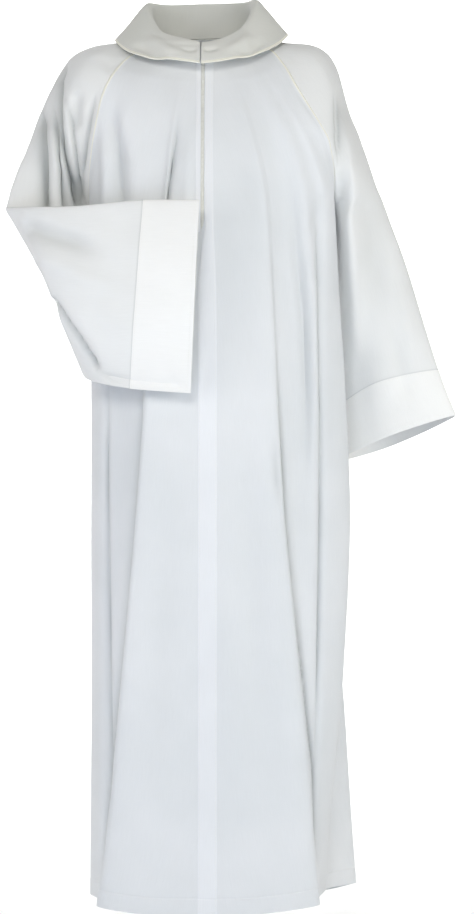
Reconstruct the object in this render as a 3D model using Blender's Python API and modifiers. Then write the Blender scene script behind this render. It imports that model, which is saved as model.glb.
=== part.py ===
"""Alb: a long white raglan-sleeved robe with a turned-over collar, as it hangs when worn.

The frame is metres, +Z up, front towards -Y, the wearer's left towards +X. The origin is the middle of
the neck at the height of the shoulder line. Sizes below are millimetres; MM turns them to metres.

Every cut piece is a wall of cloth lofted through sections. Across a section the points follow the
named fold lines of its table; down the garment a smooth curve joins the sections. Where two pieces are
sewn together they share the seam's points and directions, and each stops half a seam gap short of it.
"""
import math

import bmesh
import bpy
import numpy as np

MM = 0.001

# Cloth
CLOTH = 2.0             # wall of a body or sleeve panel
BAND_CLOTH = 2.6        # doubled cloth of collar and cuffs
STRIP_CLOTH = 1.2       # fly strips
SEAM = 0.3              # clearance between two pieces

# Lengths, as depths below the shoulder line
CHEST = -300.0          # underarm level
HIP = -620.0
THIGH = -800.0
KNEE = -1050.0
HEM = -1437.0
ZIP_END = -340.0

# Neckline: an ellipse that rises from the front to the back
NECK_HALF_WIDTH = 82.0
NECK_FRONT, NECK_BACK = -82.0, 72.0
NECK_Z_FRONT, NECK_Z_SIDE, NECK_Z_BACK = -48.0, 12.0, 20.0
FRONT_SEAM_ANGLE = 58.0     # where the front raglan seam leaves the neckline, from centre front
BACK_SEAM_ANGLE = 128.0
SHOULDER_ANGLE = 93.0

# Steps between neighbouring fold lines, sections and rings
ACROSS_STEPS = 2
YOKE_STEPS = 1
SKIRT_ROWS = 11
SLEEVE_ACROSS = 3
LEFT_SLEEVE_STEPS = (1, 1, 2, 3, 1)
RIGHT_SLEEVE_STEPS = (1, 1, 2, 2, 1, 1, 2, 2, 1)
CUFF_ROWS = 1
COLLAR_COLUMNS = 44
SHARPEST_MITRE = 2.2        # most that a sharp fold's edge stands off, in wall halves
UNDERARM_FACING = np.array([0.3, 0, -0.5])      # where sleeve and side seams meet, the walls face down;
UNDERARM_GAP = 1.2                              # their corners stay blunt, and this far apart

# The yoke, row by row from the neckline to the underarm: the centre line, the raglan seam on each
# side, how far the row turns round the chest (degrees), and how much of the chest's folds it has.
FRONT_YOKE = [
    # centre y, z    left seam x, y, z     right seam x, y, z     turn  folds
    ((-90, -66), (112, -50, -22), (-116, -52, -32), 60, 0.00),
    ((-101, -88), (139, -77, -53), (-140, -79, -60), 60, 0.05),
    ((-112, -112), (159, -98, -92), (-153, -94, -83), 60, 0.10),
    ((-122, -138), (180, -106, -128), (-164, -99, -110), 62, 0.25),
    ((-131, -164), (199, -108, -160), (-173, -99, -151), 65, 0.45),
    ((-139, -195), (213, -100, -187), (-181, -88, -200), 70, 0.70),
    ((-147, -245), (221, -60, -245), (-187, -52, -255), 80, 0.90),
    ((-149, -275), (222, -24, -278), (-188, -20, -282), 86, 0.96),
    ((-150, CHEST), (217, 10, CHEST), (-183, 8, CHEST), 90, 1.00),
]
BACK_YOKE = [
    ((80, 8), (112, 58, -6), (-114, 58, -10), 60, 0.0),
    ((88, -12), (140, 76, -40), (-138, 76, -42), 60, 0.0),
    ((97, -42), (160, 90, -80), (-152, 88, -80), 60, 0.0),
    ((104, -78), (178, 97, -118), (-163, 93, -115), 62, 0.1),
    ((109, -115), (194, 97, -152), (-172, 92, -152), 65, 0.2),
    ((113, -155), (207, 90, -186), (-180, 82, -195), 70, 0.5),
    ((117, -225), (219, 56, -245), (-186, 50, -250), 80, 0.8),
    ((118, -265), (221, 34, -278), (-187, 30, -282), 86, 0.9),
    ((118, CHEST), (217, 10, CHEST), (-183, 8, CHEST), 90, 1.0),
]

# The fold lines of each panel, from below the yoke to the hem: x, y at each level, and z at the hem.
FRONT_LEFT_FOLDS = [
    # name              chest         hip           thigh         knee          hem           hem z
    ("centre", (0, -150), (0, -160), (0, -164), (0, -172), (0, -186), -1440),
    ("band edge", (20, -150), (26, -160), (28, -164), (28, -172), (28, -186), -1440),
    ("panel middle", (60, -149), (70, -158), (74, -162), (82, -170), (95, -184), -1438),
    ("panel edge", (106, -143), (127, -152), (138, -156), (163, -161), (192, -160), -1429),
    ("under edge", (118, -129), (126, -132), (137, -134), (158, -137), (186, -134), -1429),
    ("pocket", (145, -112), (152, -112), (156, -112), (160, -114), (152, -122), -1432),
    ("ridge", (175, -106), (186, -104), (186, -104), (180, -104), (167, -105), -1434),
    ("crisp valley", (196, -86), (200, -92), (199, -94), (194, -96), (184, -97), -1436),
    ("side ridge", (212, -76), (211, -84), (212, -86), (206, -89), (193, -78), -1438),
    ("side", (224, -42), (243, -38), (250, -38), (239, -38), (201, -42), -1440),
    ("seam", (217, 10), (224, 12), (230, 14), (226, 18), (212, 12), -1442),
]
FRONT_RIGHT_FOLDS = [
    ("centre", (0, -150), (0, -160), (0, -164), (0, -172), (0, -186), -1440),
    ("panel middle", (-32, -150), (-50, -159), (-60, -163), (-72, -171), (-90, -185), -1438),
    ("panel edge", (-58, -147), (-91, -154), (-105, -158), (-127, -162), (-165, -160), -1431),
    ("under edge", (-67, -138), (-94, -136), (-107, -137), (-127, -138), (-158, -134), -1431),
    ("pocket", (-133, -117), (-125, -112), (-128, -112), (-134, -114), (-138, -118), -1433),
    ("crisp valley", (-150, -107), (-155, -98), (-154, -98), (-153, -98), (-152, -98), -1435),
    ("side ridge", (-166, -96), (-166, -88), (-166, -88), (-166, -86), (-168, -80), -1437),
    ("side", (-187, -48), (-185, -38), (-185, -36), (-185, -34), (-185, -34), -1440),
    ("seam", (-183, 8), (-181, 8), (-181, 8), (-181, 10), (-182, 12), -1442),
]
BACK_FOLDS = [
    ("left seam", (217, 10), (224, 12), (230, 14), (226, 18), (212, 12), -1442),
    ("valley 1", (212, 52), (194, 40), (198, 44), (206, 50), (226, 44), -1446),
    ("ridge 1", (186, 88), (174, 88), (190, 94), (238, 98), (268, 92), -1450),
    ("valley 2", (156, 102), (150, 106), (156, 108), (182, 114), (194, 120), -1471),
    ("ridge 2", (122, 114), (124, 136), (128, 146), (143, 164), (152, 186), -1468),
    ("valley 3", (88, 114), (90, 118), (92, 124), (99, 136), (106, 152), -1466),
    ("ridge 3", (52, 120), (52, 142), (54, 154), (57, 172), (60, 198), -1466),
    ("valley 4", (12, 118), (10, 128), (10, 134), (10, 146), (10, 165), -1464),
    ("ridge 4", (-32, 120), (-36, 144), (-38, 156), (-41, 174), (-45, 200), -1464),
    ("valley 5", (-72, 114), (-76, 120), (-79, 128), (-84, 138), (-90, 152), -1462),
    ("ridge 5", (-106, 110), (-114, 132), (-118, 144), (-125, 160), (-135, 185), -1460),
    ("valley 6", (-136, 96), (-138, 100), (-141, 102), (-146, 106), (-152, 112), -1454),
    ("ridge 6", (-166, 68), (-172, 70), (-175, 70), (-180, 68), (-187, 62), -1448),
    ("right seam", (-183, 8), (-181, 8), (-181, 8), (-181, 10), (-182, 12), -1442),
]

# The sleeves, row by row. A yoke row runs from the front raglan seam over the top of the sleeve to the
# back seam, so it only names its top point; a lower row is a loop that also has an under point. The
# front and back layers stand off the straight line to the top point by the distances given.
LEFT_SLEEVE_YOKE = [
    # top             front layer    back layer
    ((140, 0, -1), (6, -10, 0), (6, 12, 0)),
    ((186, 0, -7), (10, -16, 6), (10, 16, 5)),
    ((212, 0, -19), (11, -20, 8), (11, 18, 7)),
    ((229, 1, -45), (10, -22, 8), (10, 20, 7)),
    ((240, 2, -85), (9, -23, 4), (9, 21, 4)),
    ((252, 3, -125), (9, -26, 0), (9, 24, 0)),
    ((268, 4, -165), (4, -50, 0), (4, 44, 0)),
    ((282, 4, -205), (2, -64, 0), (2, 56, 0)),
    ((296, 4, -245), (0, -72, 0), (0, 60, 0)),
]
LEFT_SLEEVE = [
    # name          top             under           front layer    back layer
    ("underarm", (306, 4, -268), (226, 13, -328), (0, -66, 0), (0, 57, 0)),
    ("upper arm", (322, 4, -310), (231, 28, -388), (0, -57, 0), (0, 52, 0)),
    ("forearm", (346, 4, -376), (232, 54, -474), (0, -49, 6), (4, 48, 0)),
    ("cuff seam", (403, 4, -557), (222, 86, -626), (0, -44, 14), (8, 44, -2)),
    ("cuff edge", (433, 4, -634), (212, 98, -722), (0, -46, 10), (8, 48, -8)),
]
RIGHT_SLEEVE_YOKE = [
    ((-142, 0, -1), (-6, -10, 0), (-6, 12, 0)),
    ((-180, 0, -7), (-9, -16, 6), (-9, 16, 5)),
    ((-207, 0, -18), (-11, -19, 8), (-11, 18, 7)),
    ((-228, 0, -35), (-13, -20, 8), (-13, 19, 6)),
    ((-246, 0, -62), (-14, -20, 4), (-14, 19, 4)),
    ((-262, -2, -96), (-14, -22, 0), (-14, 20, 0)),
    ((-275, -5, -126), (-8, -44, 0), (-8, 38, 0)),
    ((-284, -8, -147), (-4, -58, 0), (-4, 50, 0)),
    ((-291, -11, -166), (0, -62, 0), (0, 54, 0)),
]
RIGHT_SLEEVE = [
    ("underarm", (-296, -15, -180), (-197, 8, -326), (4, -56, 1), (-1, 52, 0)),
    ("upper arm", (-302, -22, -198), (-208, 4, -376), (8, -48, 3), (-2, 48, 0)),
    ("above elbow", (-314, -38, -232), (-210, -8, -470), (20, -34, 8), (-4, 34, 0)),
    ("elbow", (-325, -62, -290), (-202, -56, -552), (40, -12, 18), (-4, 6, 0)),
    ("elbow front", (-314, -100, -292), (-195, -94, -568), (34, 12, 14), (-6, -14, 0)),
    ("forearm", (-284, -138, -293), (-187, -130, -577), (12, 26, 4), (-8, -28, 0)),
    ("wrist", (-212, -168, -295), (-161, -162, -586), (0, 20, 0), (0, -28, 0)),
    ("cuff seam", (-90, -192, -297), (-112, -184, -595), (0, 14, 0), (0, -22, 0)),
    ("cuff edge", (0, -205, -299), (-14, -198, -603), (0, 12, 0), (0, -20, 0)),
]

# The collar's profile from the neck seam up the stand, over the fold and down the fall. Each row is a
# ring: half width, reach to front and back, and its height at five angles round from centre front.
COLLAR_PROFILE = [
    # name            half width  front  back    0    45    90   135   180 degrees
    ("neck seam", 79, -79, 69, -47, -28, 12, 18, 21),
    ("stand", 82, -82, 80, -36, -14, 36, 46, 52),
    ("under fold", 85, -83, 92, -26, 0, 58, 72, 80),
    ("fold", 91, -87, 102, -20, 6, 67, 82, 89),
    ("fold outside", 99, -93, 113, -23, 3, 63, 78, 84),
    ("upper fall", 113, -102, 128, -32, -8, 47, 60, 64),
    ("middle fall", 129, -112, 141, -45, -22, 28, 34, 38),
    ("lower edge", 147, -121, 151, -60, -36, 8, 9, 10),
]
COLLAR_ANGLES = (0, 45, 90, 135, 180)
COLLAR_SLIT = 1.4       # half the slit at centre front
COLLAR_TILT = 0.03      # rise towards the wearer's left

# The fly strips: height, then the left and right edge of the strip, measured across the front.
FLY_LEFT = [(-53, 7.2, 21), (-200, 7.2, 21), (-330, 7.2, 22), (-420, -3, 26), (-610, -3, 28),
            (-1438, -3, 28)]
FLY_RIGHT = [(-53, -7, 0.6), (-200, -7, 0.6), (ZIP_END, -7, 0.6)]
ZIP_EDGES = (-2.4, 10.0)    # the tape behind the opening
ZIP_THICK = 1.4
ZIP_TOP, ZIP_STOP = -51.0, ZIP_END + 8.0
OPENING = (1.0, 6.6)        # edges of the two fronts along the zip
OPENING_EASE = (9.0, 18.0)      # above the zip's end, where the fronts close up: its middle and depth
OPENING_REACH = 50.0        # how far from the centre line the fronts are shifted
SLIDER = (4.6, 2.4, 9.0)

LEVELS = (CHEST, HIP, THIGH, KNEE, HEM)
ROW_PITCH = 40.0            # depth that counts as one row when the levels are spaced
LEVEL_ROWS = [len(FRONT_YOKE) + (CHEST - z) / ROW_PITCH for z in LEVELS]

WHITE_CLOTH = ("white polyester cloth", (0.83, 0.84, 0.84), 0.72, 0.0)
COLLAR_CLOTH = ("collar cloth", (0.78, 0.78, 0.74), 0.7, 0.0)
CUFF_WHITE = ("cuff cloth", (0.86, 0.86, 0.84), 0.7, 0.0)
FLY_WHITE = ("fly cloth", (0.88, 0.88, 0.84), 0.66, 0.0)
ZIP_WHITE = ("zip tape and coil", (0.7, 0.7, 0.66), 0.5, 0.0)
SLIDER_METAL = ("painted zip slider", (0.72, 0.72, 0.7), 0.4, 0.6)


# ---------------------------------------------------------------- curves and surfaces
def smooth(knots, values, at, tight=False):
    """Read the smooth curve through values at knots, at the places in at. A tight curve keeps between
    its neighbouring values, where a free one may swing a little past them."""
    knots, values, at = (np.asarray(item, float) for item in (knots, values, at))
    gaps = np.diff(knots).reshape((-1,) + (1,) * (values.ndim - 1))
    slopes = np.gradient(values, knots, axis=0)
    if tight:
        rise = np.diff(values, axis=0) / gaps
        before, after = rise[:-1], rise[1:]
        near, far = 2 * gaps[1:] + gaps[:-1], gaps[1:] + 2 * gaps[:-1]
        same_way = before * after > 0
        safe = [np.where(same_way, side, 1) for side in (before, after)]
        slopes[1:-1] = np.where(same_way, (near + far) / (near / safe[0] + far / safe[1]), 0)
    span = np.clip(np.searchsorted(knots, at, side="right") - 1, 0, len(knots) - 2)
    width = gaps[span]
    t = (at - knots[span]).reshape(width.shape) / width
    return ((1 + 2 * t) * (1 - t) ** 2 * values[span] + t * (1 - t) ** 2 * width * slopes[span]
            + t ** 2 * (3 - 2 * t) * values[span + 1] + t ** 2 * (t - 1) * width * slopes[span + 1])


def spans(knots, steps):
    """Split each span between neighbouring knots into equal steps."""
    parts = [np.linspace(a, b, steps, endpoint=False) for a, b in zip(knots[:-1], knots[1:])]
    return np.append(np.concatenate(parts), knots[-1])


def lengths(points, power=1.0):
    """Running length along a line of points, each step raised to power."""
    steps = np.linalg.norm(np.diff(points, axis=0), axis=1) ** power
    return np.append(0.0, np.cumsum(steps))


def across(points, steps=ACROSS_STEPS):
    """A section: a smooth curve through its fold points, with equal steps between them."""
    points = np.asarray(points, float)
    knots = lengths(points, 0.5)
    return smooth(knots, points, spans(knots, steps))


def corner_directions(grid):
    """The outward direction of each of the four faces that meet at each point."""
    down, over = np.diff(grid, axis=0), np.diff(grid, axis=1)
    down = [np.append(down, down[-1:], axis=0), np.append(down[:1], down, axis=0)]
    over = [np.append(over, over[:, -1:], axis=1), np.append(over[:, :1], over, axis=1)]
    return [unit(np.cross(a, b)) for a in down for b in over]


def directions(grid):
    """The outward direction at each point of a surface, rows going down or out along it."""
    return unit(sum(corner_directions(grid)))


def stand_off(grid, outward):
    """How far and which way a wall's face stands off the surface, for a wall with a half thickness of
    one. At a sharp fold it stands off further, so that the wall keeps its thickness."""
    facing = sum(np.sum(corner * outward, axis=-1) for corner in corner_directions(grid)) / 4
    return outward / np.clip(facing, 1 / SHARPEST_MITRE, 1)[..., None]


def unit(vectors):
    return vectors / np.linalg.norm(vectors, axis=-1, keepdims=True)


# ---------------------------------------------------------------- the neckline and the body
def ring_point(angle, half_width, front, back, height):
    """A point on an oval ring round the neck; angle is in degrees from centre front."""
    turn = math.radians(angle)
    depth = front if math.cos(turn) > 0 else -back
    return np.array([half_width * math.sin(turn), depth * math.cos(turn), height])


def neckline(angle):
    turn = abs(math.cos(math.radians(angle)))
    low = NECK_Z_FRONT if abs(angle) < 90 else NECK_Z_BACK
    height = NECK_Z_SIDE + (low - NECK_Z_SIDE) * turn
    return ring_point(angle, NECK_HALF_WIDTH, NECK_FRONT, NECK_BACK, height)


def arc(centre, seam, turn, part):
    """Points along a yoke row from the centre line to the seam; part runs from 0 to 1."""
    full = math.radians(turn)
    angle = np.asarray(part) * full
    along = np.sin(angle) / math.sin(full)
    round_chest = (1 - np.cos(angle)) / (1 - math.cos(full))
    centre, seam = np.asarray(centre, float), np.asarray(seam, float)
    points = centre + np.outer(round_chest, seam - centre)
    points[:, 0] = seam[0] * along
    return points


def yoke_rows(table, folds, seam_column, neck_angle, neck_centre, neck_turn):
    """The yoke's sections of half a panel, from its centre line to its raglan seam."""
    chest = np.array([(x, y, CHEST) for _, (x, y), *_ in folds], float)
    part = lengths(chest) / lengths(chest)[-1]
    plain = arc((0, *table[-1][0]), table[-1][seam_column], table[-1][3], part)
    rows = [arc(neckline(neck_centre), neckline(neck_angle), neck_turn, part)]
    for row in table:
        rows.append(arc((0, *row[0]), row[seam_column], row[3], part) + row[4] * (chest - plain))
    return rows


def skirt_rows(folds):
    """The sections below the chest; the hem's points have their own heights."""
    rows = []
    for level in range(1, len(LEVELS)):
        depth = [fold[6] if level == len(LEVELS) - 1 else LEVELS[level] for fold in folds]
        rows.append(np.array([(*fold[1 + level], z) for fold, z in zip(folds, depth)], float))
    return rows


def row_places():
    yoke = spans(np.arange(len(FRONT_YOKE) + 1), YOKE_STEPS)
    skirt = np.linspace(LEVEL_ROWS[0], LEVEL_ROWS[-1], SKIRT_ROWS + 1)
    return np.append(yoke, skirt[1:])


def panel(sections):
    """A panel's points: the sections filled out across, then joined down the garment."""
    rows = np.array([across(section) for section in sections])
    knots = list(range(len(FRONT_YOKE) + 1)) + LEVEL_ROWS[1:]
    return smooth(knots, rows, row_places(), tight=True)


def open_for_zip(grid, edge_along_zip, edge_below):
    """Shift the centre edge of a front panel to its place beside the zip and below it."""
    middle, depth = OPENING_EASE
    closing = np.clip((grid[:, :, 2] - ZIP_END - middle) / depth + 0.5, 0, 1)
    edge = edge_below + (edge_along_zip - edge_below) * closing
    grid[:, :, 0] += edge * np.clip(1 - np.abs(grid[:, :, 0]) / OPENING_REACH, 0, 1)


def front_panels():
    neck = (FRONT_SEAM_ANGLE, 0, FRONT_SEAM_ANGLE)
    left = panel(yoke_rows(FRONT_YOKE, FRONT_LEFT_FOLDS, 1, *neck) + skirt_rows(FRONT_LEFT_FOLDS))
    neck = (-FRONT_SEAM_ANGLE, 0, FRONT_SEAM_ANGLE)
    right = panel(yoke_rows(FRONT_YOKE, FRONT_RIGHT_FOLDS, 2, *neck) + skirt_rows(FRONT_RIGHT_FOLDS))
    open_for_zip(left, OPENING[1], OPENING[0] + SEAM)
    open_for_zip(right, OPENING[0], OPENING[0])
    return left, right[:, ::-1]


def back_panel():
    """The back is one piece, so its yoke rows are two halves that meet on the centre fold line."""
    middle = min(range(len(BACK_FOLDS)), key=lambda i: abs(BACK_FOLDS[i][1][0]))
    left_half = BACK_FOLDS[middle::-1]
    right_half = BACK_FOLDS[middle:]
    turn = 180 - BACK_SEAM_ANGLE
    left = yoke_rows(BACK_YOKE, left_half, 1, BACK_SEAM_ANGLE, 180, turn)
    right = yoke_rows(BACK_YOKE, right_half, 2, -BACK_SEAM_ANGLE, 180, turn)
    yoke = [np.vstack([a[:0:-1], b]) for a, b in zip(left, right)]
    return panel(yoke + skirt_rows(BACK_FOLDS))


# ---------------------------------------------------------------- sleeves and cuffs
def sleeve_section(start, top, end, front_layer, back_layer):
    """A section from the front edge over the top point to the back edge."""
    start, top, end = (np.array(point, float) for point in (start, top, end))
    return across([start, (start + top) / 2 + front_layer, top, (end + top) / 2 + back_layer, end],
                  SLEEVE_ACROSS)


def sleeve_grid(yoke_table, table, steps, seam_column, front_seam, back_seam, side):
    """All rows of a sleeve and its cuff, from the neckline to the cuff edge. The last columns of the
    lower rows meet the first ones at the under point."""
    turns = (FRONT_SEAM_ANGLE, (FRONT_SEAM_ANGLE + SHOULDER_ANGLE) / 2, SHOULDER_ANGLE,
             (SHOULDER_ANGLE + BACK_SEAM_ANGLE) / 2, BACK_SEAM_ANGLE)
    rows = [[neckline(side * angle) for angle in spans(turns, SLEEVE_ACROSS)]]
    for (top, *layers), front, back in zip(yoke_table, FRONT_YOKE, BACK_YOKE):
        rows.append(sleeve_section(front[seam_column], top, back[seam_column], *layers))
    for _, top, under, *layers in table:
        rows.append(sleeve_section(under, top, under, *layers))
    rows = np.array(rows)
    yoke = len(yoke_table)
    run = lengths(rows[yoke:].mean(axis=1)) / ROW_PITCH
    knots = np.append(np.arange(yoke), yoke + run)
    places = [spans(np.arange(yoke + 1), YOKE_STEPS)]
    for start, end, count in zip(knots[yoke:-1], knots[yoke + 1:], steps):
        places.append(np.linspace(start, end, count + 1)[1:])
    grid = smooth(knots, rows, np.concatenate(places), tight=True)
    grid[:len(front_seam), 0] = front_seam
    grid[:len(back_seam), -1] = back_seam
    return grid if side > 0 else grid[:, ::-1]


# ---------------------------------------------------------------- collar
def collar_grid():
    """The collar's rows, each a ring that stops at the slit in front."""
    rows = []
    for _, half_width, front, back, *heights in COLLAR_PROFILE:
        low, high = heights[::-1], heights
        knots = [-angle for angle in COLLAR_ANGLES[:0:-1]] + list(COLLAR_ANGLES) + [
            360 - angle for angle in COLLAR_ANGLES[-2::-1]]
        values = low[:-1] + high + low[1:]
        start = math.degrees(math.asin(COLLAR_SLIT / half_width))
        angles = np.linspace(start, 360 - start, COLLAR_COLUMNS + 1)
        levels = smooth(knots, values, angles)
        rows.append([ring_point(a, half_width, front, back, z) for a, z in zip(angles, levels)])
    rows = np.array(rows)
    rows[:, :, 2] += rows[:, :, 0] * COLLAR_TILT
    return rows


# ---------------------------------------------------------------- strips on the front
def front_line(left, right, x):
    """The line down the front at distance x from the centre, one point for each row and x."""
    middle = np.concatenate([right[:, -2 * ACROSS_STEPS - 1:], left[:, :2 * ACROSS_STEPS + 1]], axis=1)
    x = np.broadcast_to(x, len(middle))
    y = [np.interp(place, row[:, 0], row[:, 1]) for place, row in zip(x, middle)]
    z = [np.interp(place, row[:, 0], row[:, 2]) for place, row in zip(x, middle)]
    return np.stack([x, y, z], axis=1)


def strip(left, right, table, lift, columns=2):
    """A strip that follows the fronts, lifted off them; it has a row at each of their rows."""
    heights = np.array([row[0] for row in table[::-1]])
    edges = np.array([row[1:] for row in table[::-1]])
    z_of_row = front_line(left, right, 0)[:, 2]
    first, last = (np.interp(-z, -z_of_row, np.arange(len(z_of_row))) for z in (heights[-1], heights[0]))
    inside = [i for i in range(len(z_of_row)) if first + 0.2 < i < last - 0.2]
    low, high = (np.interp(z_of_row, heights, edges[:, i]) for i in (0, 1))
    lines = [front_line(left, right, low + (high - low) * i / columns) for i in range(columns + 1)]
    rows = between(np.stack(lines, axis=1), np.array([first, *inside, last]))
    return rows + directions(rows) * lift


def between(grid, places):
    """Rows of a grid read at whole or part row numbers, along straight lines."""
    row = np.clip(places.astype(int), 0, len(grid) - 2)
    part = (places - row)[:, None, None]
    return grid[row] * (1 - part) + grid[row + 1] * part


# ---------------------------------------------------------------- solids
def material(name, colour, roughness, metallic):
    made = bpy.data.materials.get(name) or bpy.data.materials.new(name)
    made.use_nodes = True
    shader = made.node_tree.nodes["Principled BSDF"]
    shader.inputs["Base Color"].default_value = (*colour, 1)
    shader.inputs["Roughness"].default_value = roughness
    shader.inputs["Metallic"].default_value = metallic
    return made


def add_object(name, mesh, finish, collection):
    mesh.materials.append(material(*finish))
    made = bpy.data.objects.new(name, mesh)
    collection.objects.link(made)
    return made


def wall(name, grid, facing, thick, finish, collection, joined=None):
    """A wall of cloth round a surface of points. Solidify would give each piece its own edge
    directions; these come with the points, so that sewn edges meet without cutting into each other.
    From row joined on, the last column meets the first one and the wall is a tube."""
    rows, columns, _ = grid.shape
    joined = rows if joined is None else joined
    offset = facing * thick / 2
    shell = bmesh.new()
    outer, inner = ([[shell.verts.new(point * MM) for point in row] for row in face]
                    for face in (grid + offset, grid - offset))
    for i in range(rows - 1):
        for j in range(columns - 1):
            k = j + 1
            shell.faces.new((outer[i][j], outer[i + 1][j], outer[i + 1][k], outer[i][k]))
            shell.faces.new((inner[i][j], inner[i][k], inner[i + 1][k], inner[i + 1][j]))
    for i in (0, rows - 1):
        for j in range(columns - 1):
            shell.faces.new((outer[i][j], outer[i][j + 1], inner[i][j + 1], inner[i][j]))
    for j in (0, columns - 1):
        for i in range(min(joined, rows - 1)):
            shell.faces.new((outer[i][j], outer[i + 1][j], inner[i + 1][j], inner[i][j]))
    bmesh.ops.remove_doubles(shell, verts=shell.verts[:], dist=SEAM * MM / 100)
    bmesh.ops.triangulate(shell, faces=shell.faces[:], quad_method="FIXED")
    bmesh.ops.recalc_face_normals(shell, faces=shell.faces[:])
    mesh = bpy.data.meshes.new(name)
    shell.to_mesh(mesh)
    shell.free()
    mesh.shade_smooth()
    mesh.set_sharp_from_angle(angle=math.radians(50))
    return add_object(name, mesh, finish, collection)


def slider(zip_rows, collection):
    """The zip's slider, closed at the top of the zip and standing on its tape."""
    top = zip_rows[:2].mean(axis=1)
    lean = math.atan2(top[0, 1] - top[1, 1], top[0, 2] - top[1, 2])
    out = np.array([0, -math.cos(lean), math.sin(lean)])
    width, depth, height = SLIDER
    place = top[0] + unit(top[1] - top[0]) * (height / 2 + 1) + out * (ZIP_THICK / 2 + SEAM + depth / 2)
    bpy.ops.mesh.primitive_cube_add(size=1, location=place * MM, rotation=(-lean, 0, 0))
    body = bpy.context.object
    body.name = "zip_slider"
    body.scale = (width * MM, depth * MM, height * MM)
    bpy.ops.object.transform_apply(location=False, rotation=False, scale=True)
    bevel = body.modifiers.new("Bevel", "BEVEL")
    bevel.width = 0.5 * MM
    bevel.segments = 1
    body.data.materials.append(material(*SLIDER_METAL))
    for owner in list(body.users_collection):
        owner.objects.unlink(body)
    collection.objects.link(body)


def clear_scene():
    for item in list(bpy.data.objects):
        bpy.data.objects.remove(item)


def sew(edges):
    """Give edges that are sewn together one direction at each point: the mean of their own."""
    shared = unit(sum(edge.copy() for edge in edges))
    for edge in edges:
        edge[...] = shared


def pull_back(edge, inner):
    """Move an edge towards the points next to it, to leave its half of the seam's gap."""
    edge += unit(inner - edge) * SEAM / 2


def sew_sides(panels):
    """Join the fronts to the back down the side seams, and work out each panel's directions."""
    yoke = len(FRONT_YOKE) * YOKE_STEPS + 1
    sides = (("front_left", -1, 0), ("front_right", 0, -1))
    for front, front_edge, back_edge in sides:
        panels["back"][yoke:, back_edge] = panels[front][yoke:, front_edge]
    out = {name: directions(grid) for name, grid in panels.items()}
    for front, front_edge, back_edge in sides:
        sew([out[front][yoke:, front_edge], out["back"][yoke:, back_edge]])
    return out


def build_sleeve(tables, seam_column, panels, out, front, front_edge, side):
    """A sleeve's points and directions, sewn to the body round the armhole and closed below it."""
    yoke = len(FRONT_YOKE) * YOKE_STEPS + 1
    back_edge = -1 - front_edge
    grid = sleeve_grid(*tables, seam_column, panels[front][:yoke, front_edge],
                       panels["back"][:yoke, back_edge], side)
    sleeve_out = directions(grid)
    front_column, back_column = (0, -1) if side > 0 else (-1, 0)
    under = yoke - 1
    sew([out[front][:under, front_edge], sleeve_out[:under, front_column]])
    sew([out["back"][:under, back_edge], sleeve_out[:under, back_column]])
    out[front][under, front_edge] = out["back"][under, back_edge] = UNDERARM_FACING * (side, 0, 1)
    sleeve_out[under, [0, -1]] = UNDERARM_FACING * (0, 0, 1)
    sew([sleeve_out[yoke:, 0], sleeve_out[yoke:, -1]])
    pull_back(grid[:under, 0], grid[:under, 1])
    pull_back(grid[:under, -1], grid[:under, -2])
    grid[under, [0, -1]] += (side * UNDERARM_GAP, 0, 0)
    facing = stand_off(grid, sleeve_out)
    facing[under:, 0] = facing[under:, -1] = (facing[under:, 0] + facing[under:, -1]) / 2
    return grid, facing


def main():
    clear_scene()
    collection = bpy.data.collections.new("Alb")
    bpy.context.scene.collection.children.link(collection)

    left, right = front_panels()
    panels = {"front_left": left, "front_right": right, "back": back_panel()}
    out = sew_sides(panels)
    sleeves = {
        "left": build_sleeve((LEFT_SLEEVE_YOKE, LEFT_SLEEVE, LEFT_SLEEVE_STEPS), 1,
                             panels, out, "front_left", -1, 1),
        "right": build_sleeve((RIGHT_SLEEVE_YOKE, RIGHT_SLEEVE, RIGHT_SLEEVE_STEPS), 2,
                              panels, out, "front_right", 0, -1),
    }
    zip_strip = strip(left, right, [(ZIP_TOP, *ZIP_EDGES), (ZIP_STOP, *ZIP_EDGES)],
                      -(CLOTH / 2 + SEAM + ZIP_THICK / 2))
    lift = CLOTH / 2 + SEAM + STRIP_CLOTH / 2
    fly_left = strip(left, right, FLY_LEFT, lift)
    fly_right = strip(left, right, FLY_RIGHT, lift, columns=1)

    for name, sewn in (("front_left", (-1,)), ("front_right", (0,)), ("back", (0, -1))):
        for column in sewn:
            grid = panels[name]
            inner = 1 if column == 0 else -2
            pull_back(grid[:, column], grid[:, inner])
    for name, grid in panels.items():
        wall(name, grid, stand_off(grid, out[name]), CLOTH, WHITE_CLOTH, collection)
    under = len(FRONT_YOKE) * YOKE_STEPS
    for side, (grid, facing) in sleeves.items():
        seam = len(grid) - 1 - CUFF_ROWS
        sleeve, cuff = grid[:seam + 1].copy(), grid[seam:].copy()
        pull_back(sleeve[-1], sleeve[-2])
        pull_back(cuff[0], cuff[1])
        wall("sleeve_" + side, sleeve, facing[:seam + 1], CLOTH, WHITE_CLOTH, collection, under)
        facing[seam] *= CLOTH / BAND_CLOTH      # at the seam the band is as thin as the sleeve
        wall("cuff_" + side, cuff, facing[seam:], BAND_CLOTH, CUFF_WHITE, collection, 0)
    for name, grid, thick, finish in (("collar", collar_grid(), BAND_CLOTH, COLLAR_CLOTH),
                                      ("fly_left", fly_left, STRIP_CLOTH, FLY_WHITE),
                                      ("fly_right", fly_right, STRIP_CLOTH, FLY_WHITE),
                                      ("zip", zip_strip, ZIP_THICK, ZIP_WHITE)):
        wall(name, grid, stand_off(grid, directions(grid)), thick, finish, collection)
    slider(zip_strip, collection)
    print({item.name: len(item.data.polygons) for item in collection.objects})


if __name__ == "__main__":
    main()
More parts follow.
